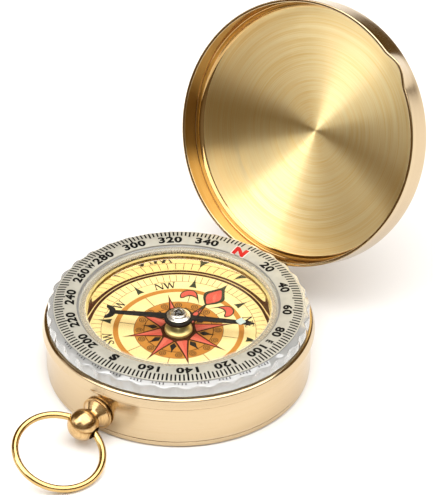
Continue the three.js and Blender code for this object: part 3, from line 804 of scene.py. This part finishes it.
def bezel():
    """Clear ring: bore, shoulder, crowned top and a grip of n scallops. Each is SCALLOP_DEPTH share
    (0.5 - 0.5 cos nw) deep at the top, where share goes from 0 at the grip's inner line to 1 at its outside,
    and fades to FADE_LEAST of that at the foot."""
    top = np.linspace(GRIP_IN, BEZEL_BORE, 9)
    crown_line = np.stack([top, crest(top) - CLEAR_DROP], -1)
    grip = rounded([
        (GRIP_FOOT_R, BEZEL_LOW),
        (GRIP_R, BEZEL_LOW, 0.3),
        (GRIP_R, GRIP_TOP, 0.35),
        (GRIP_IN, GRIP_EDGE_Z),
    ], loop=False, steps=6)[1:-1]
    foot = [[BEZEL_LIP, BEZEL_LOW], [21.0, BEZEL_LOW], [GRIP_FOOT_R, BEZEL_LOW]]
    bore = [[BEZEL_BORE, SHOULDER_Z], [BEZEL_LIP, SHOULDER_Z]]
    profile = np.vstack([foot, grip, crown_line, bore])

    def scallops(turn, r, z):
        share = np.clip((r - GRIP_IN) / (GRIP_R - GRIP_IN), 0, 1)
        fade = np.clip((z - BEZEL_LOW) / FADE_HEIGHT, FADE_LEAST, 1)
        return -SCALLOP_DEPTH * share * fade * (0.5 - 0.5 * np.cos(SCALLOPS * turn))

    ring = skin("bezel_clear", turn_grid(profile, SCALLOPS * 14, scallops), smooth=ROUND_ANGLE)
    return finish(ring, "bezel", MAT["bezel"], ["bezel_ring"])


def scale_band():
    """Silver printed band that follows the crowned top."""
    r = np.linspace(SCALE_IN, SCALE_OUT, 15)
    over = np.stack([r, crest(r)], -1)
    under = np.stack([r[::-1], crest(r[::-1]) - BAND_THICK], -1)
    band = skin("scale_band", turn_grid(np.vstack([over, under]), 240), smooth=ROUND_ANGLE)
    return finish(band, "bezel", MAT["scale"], ["bezel_scale"])


def at_bearing(bearing, r, side, z):
    """Point (r sin b, r cos b, z), where b is the bearing and side mm more, clockwise."""
    b = np.radians(bearing) + np.asarray(side) / np.maximum(np.asarray(r), 0.1)
    return np.stack(np.broadcast_arrays(r * np.sin(b), r * np.cos(b), z), -1)


def strips(name, items, height, rows=2):
    """Thin flat strips (bearing, inner r, outer r, inner half width, outer half width), facing up,
    at height(r)."""
    faces, points = [], []
    for k, (bearing, r0, r1, w0, w1) in enumerate(items):
        r = np.linspace(r0, r1, rows)
        w = np.linspace(w0, w1, rows)
        points += [at_bearing(bearing, r, -w, height(r)), at_bearing(bearing, r, w, height(r))]
        first = 2 * rows * k
        faces += [[i, i + rows, i + rows + 1, i + 1] for i in range(first, first + rows - 1)]
    square = np.array([[0, 0], [1, 0], [1, 1], [0, 1]], float)
    return mesh_from(name, np.vstack(points), faces, [square] * len(faces))


def text_shape(words, size, spacing, bold):
    """Flat mesh of a word about its own middle, size mm tall, as a bmesh cut into strips by height."""
    curve = bpy.data.curves.new("words", "FONT")
    curve.body = words
    curve.align_x = "CENTER"
    curve.resolution_u = 5
    curve.space_character = spacing
    curve.offset = bold
    holder = bpy.data.objects.new("words", curve)
    bpy.context.scene.collection.objects.link(holder)
    mesh = bpy.data.meshes.new_from_object(holder.evaluated_get(bpy.context.evaluated_depsgraph_get()))
    bpy.data.objects.remove(holder)
    bpy.data.curves.remove(curve)
    shape = bmesh.new()
    shape.from_mesh(mesh)
    bpy.data.meshes.remove(mesh)
    co = np.array([v.co for v in shape.verts])
    low, high = co[:, 1].min(), co[:, 1].max()
    k = size / (high - low)
    for v in shape.verts:
        v.co = ((v.co.x - (co[:, 0].min() + co[:, 0].max()) / 2) * k, (v.co.y - (low + high) / 2) * k, 0)
    for y in np.arange(-size / 2 + TEXT_STRIP, size / 2, TEXT_STRIP):
        geometry = shape.verts[:] + shape.edges[:] + shape.faces[:]
        bmesh.ops.bisect_plane(shape, geom=geometry, plane_co=(0, float(y), 0), plane_no=(0, 1, 0))
    return shape


def bent_text(name, items, height, spacing, wide, bold):
    """Words (word, bearing, middle radius, size) bent along the ring at height(r): x runs clockwise and is
    made wide times as long, and y runs outwards."""
    points, faces = [], []
    for word, bearing, radius, size in items:
        shape = text_shape(word, size, spacing, bold)
        shape.verts.index_update()
        co = np.array([v.co for v in shape.verts])
        r = radius + co[:, 1]
        b = np.radians(bearing) + co[:, 0] * wide / radius
        base = sum(len(p) for p in points)
        points.append(np.stack([r * np.sin(b), r * np.cos(b), height(r)], -1))
        for f in shape.faces:
            ids = [v.index + base for v in f.verts]
            faces.append(ids if f.normal.z >= 0 else ids[::-1])
        shape.free()
    return mesh_from(name, np.vstack(points), faces)


def on_band(r):
    """Height of the print on the silver band."""
    return crest(r) + INK_LIFT


def on_halo(r):
    """Height of the print that lies on other print."""
    return crest(r) + 2 * INK_LIFT


def scale_ticks():
    """Tick every two degrees, longer every ten, with none at north."""
    ticks = []
    for degree in range(2, 360, 2):
        inner, narrow, wide = SHORT_TICK if degree % 10 else LONG_TICK
        ticks.append((degree - SCALE_SLIP, inner, TICK_R, narrow, wide))
    marks = strips("scale_ticks", ticks, on_band, 6)
    return finish(marks, "bezel", MAT["scale_black"])


def scale_echo():
    """Dark flecks below the band from bearing 100 to 205: a painted image of the scale's ticks as seen in the
    clear plastic.
    """
    flecks = []
    for degree in range(98, 208, 10):
        for more, outer in ((2.4, 23.42), (4.0, 23.42), (5.6, 23.3), (7.2, 23.3)):
            flecks.append((degree + more, 23.0, outer, 0.09, 0.1))
    # Painted image of the ticks: dark flecks on the clear grip's slope
    painted_flecks = strips("scale_echo", flecks, lambda r: PAINTED_IMAGE_Z - PAINTED_IMAGE_FALL * (r - GRIP_IN), 3)
    return finish(painted_flecks, "bezel", MAT["scale_black"])


def scale_words():
    """Figures every twenty degrees but 180, and the four letters, with a pale halo under the red N."""
    figures = [(str(d), d - SCALE_SLIP, FIGURE_R, 1.8) for d in range(20, 360, 20) if d != 180]
    sides = [("E", 88.6, FIGURE_R, 1.4), ("W", 269.0, FIGURE_R, 1.4)]
    # Piece, its words (word, bearing, middle radius, size), height, spacing, width, boldness and ink
    prints = [
        ("scale_figures", figures, on_band, 1.1, 1.23, 0.045, "scale_black"),
        ("scale_letters", sides, on_band, 1.0, 0.9, 0.05, "scale_black"),
        ("scale_south", [("S", 179.3, POLES_R, 2.1)], on_band, 1.0, 1.15, 0.07, "scale_black"),
        ("scale_north_halo", [("N", -SCALE_SLIP, POLES_R, 2.6)], on_band, 1.0, 1.24, 0.06, "scale_pale"),
        ("scale_north", [("N", -SCALE_SLIP, POLES_R, 2.25)], on_halo, 1.0, 1.24, 0.07, "scale_red"),
    ]
    for name, words, height, spacing, wide, bold, key in prints:
        finish(bent_text(name, words, height, spacing, wide, bold), "bezel", MAT[key])


# Capsule

DIAL_LOW = 7.4
DIAL_R = 17.2
ON_DIAL = 7.85
MIRROR_R = 16.6
MIRROR_TOP = 11.25
GLASS_LOW = 12.2
GLASS_EDGE = 13.4
GLASS_RISE = 1.2
GLASS_HOLLOW = 0.6
DOME_R = 17.0
FLANGE_IN = 16.95
FLANGE_R = 18.25
FLANGE_LOW = 13.5
FLANGE_TOP = 13.8
BOSS_R = 2.5


def ring_corners(r0, r1, z0, z1, sizes):
    """Corners of a plain ring's section, from the lower inner one out and up, each with its rounding."""
    places = [(r0, z0), (r1, z0), (r1, z1), (r0, z1)]
    return [(r, z, size) for (r, z), size in zip(places, sizes)]


def dial_disc():
    """Disc that carries the dial's print."""
    corners = [(0, DIAL_LOW), (DIAL_R, DIAL_LOW, 0.03), (DIAL_R, DIAL_Z, 0.03), (8, DIAL_Z), (0, DIAL_Z)]
    disc = turned("dial_disc", corners, loop=False)
    return finish(disc, "case", MAT["paper"], ["dial_plate"])


def reflector():
    """Polished wall round the dial, which mirrors its edge."""
    section = ring_corners(MIRROR_R, DIAL_R, ON_DIAL, MIRROR_TOP, (0.05, 0.05, 0.05, 0.08))
    wall = turned("reflector_wall", section, 256)
    return finish(wall, "case", MAT["reflector"], ["reflector_ring"])


def crystal():
    """Clear window with a domed top and a slightly hollow lower face."""
    over = dome(DOME_R, GLASS_EDGE, GLASS_RISE, 24)[::-1]
    under = dome(MIRROR_R, GLASS_LOW, GLASS_HOLLOW, 24)
    side = [
        (MIRROR_R, GLASS_LOW),
        (DIAL_R, GLASS_LOW, 0.12),
        (DIAL_R, GLASS_EDGE - 0.2, 0.06),
        (DOME_R, GLASS_EDGE),
    ]
    profile = np.vstack([under[:-1], rounded(side, loop=False)[:-1], over])
    glass = skin("crystal_dome", turn_grid(profile, 256), loop=False, smooth=CRISP_ANGLE)
    return finish(glass, "case", MAT["crystal"], ["crystal"])


def flange():
    """Clear ring over the crystal's rim and the bezel's shoulder, which keeps both down."""
    section = ring_corners(FLANGE_IN, FLANGE_R, FLANGE_LOW, FLANGE_TOP, (0.04, 0.05, 0.1, 0.12))
    ring = turned("retaining_band", section, 256)
    return finish(ring, "case", MAT["flange"], ["retaining_ring"])


def boss():
    """Turned cone under the needle's hub."""
    corners = [
        (0, ON_DIAL),
        (BOSS_R, ON_DIAL, 0.05),
        (BOSS_R, 8.25, 0.15),
        (2.1, 8.6, 0.3),
        (1.0, 8.9, 0.4),
        (0, 8.95),
    ]
    cone = turned("boss", corners, 96, loop=False)
    return finish(cone, "case", MAT["boss"], ["pivot_boss"])


# Dial print

INK_GAP = 0.004
INK_STEP = 0.005
DISC_R = 8.0
CIRCLES_R = 7.05
CIRCLES_ASIDE = 10.5
LARGE_RING = (0.64, 0.51)
SMALL_RING = (0.34, 0.2)
LETTER_R = 12.75
LETTER_SIZE = 1.65
INK_SPREAD = 0.05
CURVE_STEPS = 6
RAY_STEPS = 10
CIRCLE = np.stack([np.cos(TAU * np.arange(24) / 24), np.sin(TAU * np.arange(24) / 24)], -1)


def level(k):
    """Height of print layer k above the dial."""
    return DIAL_Z + INK_GAP + INK_STEP * k


def annulus(name, r0, r1, k, material):
    """Flat printed ring between two radii on layer k."""
    r = np.linspace(r0, r1, 3)[::-1]
    ring = skin(name, turn_grid(np.stack([r, np.full(3, level(k))], -1), 180), loop=False)
    facing_up(ring)
    return finish(ring, "case", material)


def facing_up(obj):
    """Turns a flat print's faces up."""
    shape = bmesh.new()
    shape.from_mesh(obj.data)
    for f in shape.faces:
        if f.normal.z < 0:
            f.normal_flip()
    shape.to_mesh(obj.data)
    shape.free()


def outlines(name, polygons, k, material):
    """Flat shapes from outlines of points (x, y) about a bearing, with x to its right and y outwards."""
    points, faces = [], []
    for bearing, outline in polygons:
        b = math.radians(bearing)
        x, y = np.asarray(outline, float).T
        base = sum(len(q) for q in points)
        across = x * math.cos(b) + y * math.sin(b)
        along = y * math.cos(b) - x * math.sin(b)
        points.append(np.column_stack([across, along, np.full(len(x), level(k))]))
        faces.append(list(range(base, base + len(x))))
    obj = mesh_from(name, np.vstack(points), faces)
    facing_up(obj)
    return finish(obj, "case", material)


def smooth_outline(knots):
    """Closed smooth line through the knots: between b and c, led by a and d on either side, it is
    0.5 (2b + (c - a) t + (2a - 5b + 4c - d) t^2 + (3b - a - 3c + d) t^3)."""
    p = np.asarray(knots, float)
    out = []
    n = len(p)
    for i in range(n):
        a, b, c, d = p[i - 1], p[i], p[(i + 1) % n], p[(i + 2) % n]
        for t in np.arange(CURVE_STEPS) / CURVE_STEPS:
            start = 2 * b + (c - a) * t
            out.append(0.5 * (start + (2 * a - 5 * b + 4 * c - d) * t * t + (3 * b - a - 3 * c + d) * t ** 3))
    return np.array(out)


def leaf(top, half, foot):
    """Smooth outline of a leaf from its top, the knots of its right half and its foot."""
    return smooth_outline([(0, top)] + half + [(0, foot)] + [(-x, y) for x, y in half[::-1]])


def ray(start, end, width):
    """Both sides of a star ray. Its half width falls from width at start to 0 at end as (1 - t)^1.4."""
    t = np.linspace(0, 1, RAY_STEPS)
    r = start + (end - start) * t
    w = width * (1 - t) ** 1.4
    return np.stack([-w, r], -1), np.stack([w, r], -1)


def dial_print():
    """Rings, ticks, star, circles, lily and letters printed on the dial, each on its own layer."""
    # Ring, its inner and outer radius, layer and ink
    rings = [
        ("print_edge", 15.96, 16.5, 1, "brown"),
        ("print_tick_line", 13.84, 13.94, 1, "tan"),
        ("print_band", 10.8, 11.75, 1, "orange"),
        ("print_disc", 2.2, DISC_R, 1, "orange"),
        ("print_disc_edge", DISC_R - 0.05, DISC_R + 0.05, 2, "tan"),
        ("print_circle", 6.13, 6.28, 3, "brown"),
        ("print_hub_ring", 2.3, 3.1, 8, "brown"),
    ]
    for name, inner, outer, k, key in rings:
        annulus(name, inner, outer, k, MAT[key])
    ticks = [(4.5 * i + PRINT_TURN, 13.9, 15.75, 0.05, 0.055) for i in range(80)]
    finish(strips("print_ticks", ticks, lambda r: level(1)), "case", MAT["tan"])
    odd = [22.5 + 45 * i + PRINT_TURN for i in range(8)]
    spokes = [(b, DISC_R, 10.85, 0.07, 0.07) for b in odd]
    finish(strips("print_spokes", spokes, lambda r: level(2)), "case", MAT["tan"])
    dart = [(-0.7, 12.3), (-0.27, 13.6), (0, 15.0), (0.27, 13.6), (0.7, 12.3), (0, 12.42)]
    outlines("print_darts", [(b, dart) for b in odd], 2, MAT["green"])
    kite = [(0, 6.7), (-0.2, 5.6), (-0.62, 4.6), (0, 3.7), (0.62, 4.6), (0.2, 5.6)]
    outlines("print_kites", [(b, kite) for b in odd], 4, MAT["black"])
    whole = [45 * i + PRINT_TURN for i in range(8)]
    left, right = ray(2.9, 10.4, 1.4)
    edge = np.vstack([left, right[::-1][1:]])
    outlines("print_ray_edges", [(b, edge) for b in whole], 5, MAT["brown"])
    left, right = ray(3.15, 8.8, 0.98)
    outlines("print_rays", [(b, np.vstack([left, [[0, 3.0]]])) for b in whole], 6, MAT["red"])
    outlines("print_rays_light", [(b, np.vstack([right, [[0, 3.0]]])) for b in whole], 6, MAT["coral"])
    circles(whole)
    lily()
    letters()


def circles(whole):
    """A large and a small ring on either side of each ray, each ring drawn between two circles."""
    n = len(CIRCLE)
    faces, points = [], []
    bearings = [b + side for b in whole for side in (-CIRCLES_ASIDE, CIRCLES_ASIDE)]
    rings = [(b, radii) for b in bearings for radii in (LARGE_RING, SMALL_RING)]
    for k, (bearing, radii) in enumerate(rings):
        b = math.radians(bearing)
        middle = np.array([CIRCLES_R * math.sin(b), CIRCLES_R * math.cos(b)])
        points += [np.column_stack([middle + radius * CIRCLE, np.full(n, level(4))]) for radius in radii]
        base = 2 * n * k
        for i in range(n):
            j = (i + 1) % n
            faces.append([base + i, base + j, base + n + j, base + n + i])
    obj = mesh_from("print_circles", np.vstack(points), faces)
    facing_up(obj)
    finish(obj, "case", MAT["black"])


def lily():
    """Lily at north: pointed leaf with a heart, two curled petals, stem and ball, each edged in green."""
    blade = [(0.4, 14.3), (0.85, 13.5), (1.4, 12.65), (1.95, 11.85), (2.0, 11.05), (1.55, 10.1), (0.85, 9.3)]
    inside = [(0.6, 12.9), (1.15, 11.95), (1.38, 11.2), (1.1, 10.3), (0.6, 9.6)]
    heart = [(-0.1, 12.3), (-0.25, 11.5), (0.2, 10.6), (0.75, 10.1), (0.6, 10.9), (0.15, 11.6)]
    edge = smooth_outline([
        (0.95, 7.9), (1.8, 9.0), (2.4, 9.75), (3.05, 10.4), (3.75, 10.75), (4.5, 10.65), (5.15, 10.2),
        (5.5, 9.45), (5.5, 8.6), (5.1, 7.85), (4.75, 7.65), (4.4, 7.95), (4.15, 8.6), (3.65, 9.1),
        (3.05, 9.25), (2.35, 9.15), (1.65, 8.6),
    ])
    fill = smooth_outline([
        (2.5, 9.4), (3.1, 10.1), (3.8, 10.5), (4.45, 10.4), (5.0, 9.95), (5.3, 9.3), (5.3, 8.6), (5.0, 8.1),
        (4.7, 7.95), (4.45, 8.4), (4.15, 9.05), (3.6, 9.45), (3.0, 9.5),
    ])
    mirror = np.array([-1, 1])
    ball = np.array([0, 5.4])
    stem = [(-0.17, 8.8), (-0.15, 6.1), (0.15, 6.1), (0.17, 8.8)]
    # Piece, its outlines, layer and ink
    prints = [
        ("print_lily_edge", [leaf(15.4, blade, 8.6), edge, edge * mirror, stem], 9, "green"),
        ("print_lily_fill", [leaf(13.6, inside, 8.95), fill, fill * mirror], 10, "red"),
        ("print_lily_heart", [smooth_outline(heart)], 11, "coral"),
        ("print_lily_ball_edge", [CIRCLE * (0.54, 0.82) + ball], 9, "green"),
        ("print_lily_ball", [CIRCLE * (0.38, 0.64) + ball], 10, "red"),
    ]
    for name, shapes, k, key in prints:
        outlines(name, [(PRINT_TURN, shape) for shape in shapes], k, MAT[key])


SERIF = {
    "N": [
        (0.08, 0.0, 0.08, 1.0, 0.05), (0.10, 1.0, 0.82, 0.0, 0.15), (0.82, 0.0, 0.82, 1.0, 0.05),
        (-0.06, 0.02, 0.24, 0.02, 0.04), (-0.04, 0.98, 0.2, 0.98, 0.04), (0.68, 0.98, 0.96, 0.98, 0.04),
    ],
    "E": [
        (0.12, 0.0, 0.12, 1.0, 0.14), (-0.02, 0.02, 0.68, 0.02, 0.04), (-0.02, 0.98, 0.66, 0.98, 0.04),
        (0.12, 0.51, 0.5, 0.51, 0.04), (0.68, 0.0, 0.7, 0.24, 0.05), (0.66, 0.78, 0.66, 1.0, 0.05),
        (0.5, 0.4, 0.5, 0.62, 0.05),
    ],
    "W": [
        (0.08, 1.0, 0.36, 0.0, 0.14), (0.36, 0.0, 0.62, 0.98, 0.05), (0.62, 1.0, 0.9, 0.0, 0.14),
        (0.9, 0.0, 1.18, 1.0, 0.05), (-0.06, 0.98, 0.24, 0.98, 0.04), (0.48, 0.98, 0.76, 0.98, 0.04),
        (1.04, 0.98, 1.3, 0.98, 0.04),
    ],
    "S": [
        (0.56, 0.76, 0.56, 0.97, 0.05), (0.56, 0.86, 0.32, 0.98, 0.05), (0.32, 0.98, 0.08, 0.8, 0.08),
        (0.08, 0.8, 0.16, 0.6, 0.12), (0.14, 0.62, 0.5, 0.4, 0.14), (0.52, 0.44, 0.56, 0.2, 0.12),
        (0.56, 0.2, 0.32, 0.02, 0.07), (0.32, 0.02, 0.06, 0.14, 0.05), (0.06, 0.03, 0.06, 0.26, 0.05),
    ],
}
WIDTHS = {"N": 1.0, "E": 0.78, "W": 1.32, "S": 0.66}


def letters():
    """Serif letters, each a set of straight strokes (x0, y0, x1, y1, width) in units of its height."""
    polygons = []
    for i, word in enumerate(["", "NE", "E", "SE", "S", "SW", "W", "NW"]):
        start = -sum(WIDTHS[c] for c in word) / 2
        for c in word:
            for x0, y0, x1, y1, width in SERIF[c]:
                a = np.array([start + x0, y0 - 0.5]) * LETTER_SIZE
                b = np.array([start + x1, y1 - 0.5]) * LETTER_SIZE
                d = (b - a) / np.linalg.norm(b - a)
                side = np.array([-d[1], d[0]]) * (width + INK_SPREAD) * LETTER_SIZE / 2
                box = np.array([a - side, b - side, b + side, a + side])
                polygons.append((45 * i + PRINT_TURN, box + [0, LETTER_R]))
            start += WIDTHS[c]
    outlines("print_letters", polygons, 3, MAT["black"])


# Needle

TIP = 13.8
TAIL = -13.3
HEAD_X = 12.3
HEAD_HALF = 0.75
ARM_HALF = 0.78
ARM_TAPER = 0.36
ARM_REACH = 13.0
FORK_X = -11.8
FORK_R = 1.85
NOTCH_X = -14.25
NOTCH_R = 1.65
BLADE_HUB_R = 2.65
BLADE_BORE_R = 0.7
BLADE_THICK = 0.25
BEVEL = 0.06
SKIRT_BORE_R = 0.75
SKIRT_LOW = 9.75
SKIRT_TOP = 10.34
LUME_X = 11.3
LUME_Z = 10.65
LUME_BLUNT = 0.94
CAP_BORE_R = 0.95
BEAD_R = 0.85
BEAD_Z = 11.1


def needle_turned(points):
    """Points of a needle that lies along +X, turned to the needle's own place."""
    x, y, z = np.moveaxis(points, -1, 0)
    c, s = math.cos(NEEDLE_TURN), math.sin(NEEDLE_TURN)
    return np.stack([x * c - y * s, x * s + y * c, z], -1)


def disc_half(radius, x):
    """Half width sqrt(radius^2 - x^2) of a disc at x, and 0 outside it."""
    return np.sqrt(np.clip(radius ** 2 - x ** 2, 0, None))


def needle_half(name, side):
    """Half of the blade. y runs from the hub's bore or the fork's notch, both discs, out to the edge.
    The edge is the widest of the tapering arm, the hub's disc, the fork's disc and the arrow's head."""
    x = TAIL + (TIP - TAIL) * (0.5 - 0.5 * np.cos(math.pi * np.linspace(0, 1, 260)))
    close = [np.linspace(-2.7, 2.7, 60), np.linspace(TAIL, -11, 60), [HEAD_X, HEAD_X + 0.01]]
    x = np.unique(np.concatenate([x, *close]))
    arm = ARM_HALF - ARM_TAPER * np.clip(np.abs(x) / ARM_REACH, 0, 1)
    arm = np.where((x < FORK_X) | (x > HEAD_X), 0, arm)
    head = np.where(x > HEAD_X, HEAD_HALF * (TIP - x) / (TIP - HEAD_X), 0)
    out = np.maximum.reduce([arm, disc_half(BLADE_HUB_R, x), disc_half(FORK_R, x - TAIL), head])
    inn = np.maximum(disc_half(BLADE_BORE_R, x), disc_half(NOTCH_R, x - NOTCH_X))
    inn = np.minimum(inn, out)
    low, high = NEEDLE_Z, NEEDLE_Z + BLADE_THICK
    edge = np.minimum(BEVEL, (out - inn) / 3)
    rows = [
        (inn, low),
        (out - edge, low),
        (out, low + BEVEL),
        (out, high - BEVEL),
        (out - edge, high),
        (inn, high),
    ]
    grid = np.stack([np.stack([x, side * y, np.full_like(x, z)], -1) for y, z in rows], 1)
    ends = [np.repeat(g.mean(axis=0, keepdims=True), 6, 0)[None] for g in (grid[0], grid[-1])]
    grid = np.concatenate([ends[0], grid, ends[1]])
    return skin(name, needle_turned(grid), loop=False, smooth=CRISP_ANGLE)


def blade_halves():
    """Both halves of the blade."""
    for name, side, replaced in (("needle_left", 1, ["needle_blade"]), ("needle_right", -1, [])):
        finish(needle_half(name, side), "needle", MAT["enamel"], replaced)


def skirt():
    """Black skirt under the blade's hub, tapering towards the boss."""
    corners = [
        (SKIRT_BORE_R, SKIRT_LOW, 0.03),
        (2.2, SKIRT_LOW, 0.15),
        (2.6, 10.05, 0.15),
        (2.62, SKIRT_TOP, 0.04),
        (SKIRT_BORE_R, SKIRT_TOP),
    ]
    return finish(turned("needle_hub", corners, 96), "needle", MAT["enamel"])


def lume():
    """Diamond of pale paint: rows of the same outline, each scaled by a share at its height. The outline has
    three points on each side after its corner, and the corners are drawn in to blunt them."""
    corner = np.array([[-1, 0], [0, -1.1], [1, 0], [0, 1.1]])
    rows = [(0.0, LUME_Z), (1.0, LUME_Z), (1.0, 10.72), (0.9, 10.77), (0.0, 10.77)]
    sides = [(corner[i], corner[(i + 1) % 4] - corner[i]) for i in range(4)]
    knots = np.vstack([start + way * t for start, way in sides for t in (0, 0.15, 0.5, 0.85)])
    knots[::4] *= LUME_BLUNT
    x, y = knots.T
    grid = np.stack([np.column_stack([LUME_X + x * s, y * s, np.full(16, z)]) for s, z in rows])
    paint = skin("needle_lume_paint", needle_turned(grid), loop=False, smooth=CRISP_ANGLE)
    return finish(paint, "needle", MAT["lume"], ["needle_lume"])


def cap():
    """Stepped silver cap, turned, with the bead in its bore."""
    corners = [
        (CAP_BORE_R, LUME_Z, 0.03),
        (2.15, LUME_Z, 0.05),
        (2.15, 10.84, 0.08),
        (1.6, 11.0, 0.12),
        (1.55, 11.1, 0.05),
        (1.35, 11.4, 0.1),
        (CAP_BORE_R, 11.4, 0.08),
    ]
    steps = turned("needle_cap_turned", corners, 96)
    return finish(steps, "needle", MAT["silver"], ["needle_cap"])


def bead():
    """Glass ball (BEAD_R cos w, BEAD_Z + BEAD_R sin w), turned."""
    w = np.linspace(-math.pi / 2, math.pi / 2, 25)
    ball = np.stack([BEAD_R * np.cos(w), BEAD_Z + BEAD_R * np.sin(w)], -1)
    ball[[0, -1], 0] = 0
    glass = skin("needle_bead", turn_grid(ball, 48), loop=False)
    return finish(glass, "needle", MAT["jewel"], ["needle_jewel"])


# Build

case_wall()
case_base()
crown()
bow()
lid()
bezel()
scale_band()
scale_ticks()
scale_echo()
scale_words()
dial_disc()
reflector()
crystal()
flange()
boss()
dial_print()
blade_halves()
skirt()
lume()
cap()
bead()

KEPT = {
    "capsule_housing": "plain_brass",
    "spacer_ring": "moulded",
    "crystal_gasket": "rubber",
    "wave_spring": "plain_steel",
    "pivot_pin": "plain_steel",
    "case_hinge_leaf": "plain_brass",
    "hinge_pin": "plain_steel",
    "crown_nut": "plain_brass",
    "lid_hinge_leaf": "plain_brass",
}
for node, key in KEPT.items():
    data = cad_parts[node].data
    data.materials.clear()
    data.materials.append(MAT[key])


# Studio

FLOOR_R = 3000
FLOOR_Z = -0.05
FLOOR_WHITE = (0.93, 0.93, 0.93, 1.0)
SKY_DARK = (0.14, 0.08, 0.02, 1.0)
SKY_LIGHT = (0.4, 0.37, 0.32, 1.0)
EYE_FAR = 0.7
AIM_ASIDE = 0.00178
AIM_UP = 0.01048


def ground():
    """White disc FLOOR_R (sin w, cos w), just below the part."""
    w = np.linspace(0, TAU, 129)[:-1]
    grid = np.stack([np.zeros((128, 3)), np.stack([FLOOR_R * np.sin(w), FLOOR_R * np.cos(w), 0 * w], -1)])
    grid[..., 2] = FLOOR_Z
    disc = skin("floor_disc", grid, loop=False)
    facing_up(disc)
    material, t, surface = new_material("floor_white")
    inputs = {"Base Color": FLOOR_WHITE, "Roughness": 1.0, "Specular IOR Level": 0.0}
    t.feed(t.add("BsdfPrincipled", inputs).outputs[0], surface)
    disc.data.materials.append(material)


def sky():
    """Dark warm world that is brighter towards the front right and above: the colour goes from dark to
    light as 0.55 x - 0.8 y + z goes from 0.9 to 1.5."""
    world = bpy.data.worlds.new("studio")
    bpy.context.scene.world = world
    world.use_nodes = True
    world.node_tree.nodes.clear()
    t = Tree(world.node_tree)
    place = t.add("TexCoord")
    way = t.add("SeparateXYZ", {"Vector": place.outputs["Generated"]}).outputs
    front = t.math("MULTIPLY_ADD", way["X"], 0.55, t.math("MULTIPLY_ADD", way["Y"], -0.8, way["Z"]))
    colour = t.blend(t.spread(front, 0.9, 1.5), SKY_DARK, SKY_LIGHT)
    background = t.add("Background", {"Color": colour, "Strength": 1.0})
    t.feed(background.outputs[0], t.add("OutputWorld").inputs["Surface"])


def lamps():
    """Key, side and overhead soft boxes."""
    aim = (0.0, 0.02, 0.02)
    # Name, place, aim, width, depth, roll in degrees and radiance
    soft_box("key", (-0.351, -0.559, 0.751), aim, 0.55, 0.81, -9, 2.7)
    soft_box("side", (-0.865, -0.54, 0.41), aim, 0.55, 0.45, 0, 1.1)
    soft_box("overhead", (0.3, 0.0, 1.3), (0.05, 0.05, 0.0), 1.9, 1.9, 0, 3.2)


def soft_box(name, place, aim, width, depth, roll, radiance):
    """Rectangular lamp of even radiance: power = radiance pi width depth."""
    lamp = bpy.data.lights.new(name, "AREA")
    lamp.shape = "RECTANGLE"
    lamp.size, lamp.size_y = width, depth
    lamp.energy = radiance * math.pi * width * depth
    obj = bpy.data.objects.new(name, lamp)
    bpy.context.scene.collection.objects.link(obj)
    obj.location = place
    facing = (Vector(aim) - Vector(place)).to_track_quat("-Z", "Y")
    obj.rotation_euler = (facing.to_matrix() @ Matrix.Rotation(math.radians(roll), 3, "Z")).to_euler()


def camera():
    """Camera at the place and turn that the photograph's outlines give. It stands EYE_FAR from a point of the
    case and looks aside of it by AIM_ASIDE and AIM_UP, as shares of the view's depth."""
    az, roll = math.radians(35.74), math.radians(0.42)
    back = Vector((0.4695, -0.6525, 0.5948)).normalized()
    right = Vector((math.cos(az), math.sin(az), 0))
    up = back.cross(right)
    r = right * math.cos(roll) + up * math.sin(roll)
    u = up * math.cos(roll) - right * math.sin(roll)
    eye = Vector((0, 0.010, 0.012)) + back * EYE_FAR
    look = (r * AIM_ASIDE + u * AIM_UP - back).normalized()
    x = look.cross(u).normalized()
    y = x.cross(look)
    data = bpy.data.cameras.new("camera")
    data.lens = 275.83
    data.sensor_width = 36
    data.clip_start = 0.01
    data.clip_end = 20
    obj = bpy.data.objects.new("camera", data)
    bpy.context.scene.collection.objects.link(obj)
    turn = Matrix((x, y, -look)).transposed().to_4x4()
    obj.matrix_world = Matrix.Translation(eye) @ turn
    bpy.context.scene.camera = obj


ground()
sky()
lamps()
camera()
bpy.context.scene.view_settings.view_transform = "Standard"
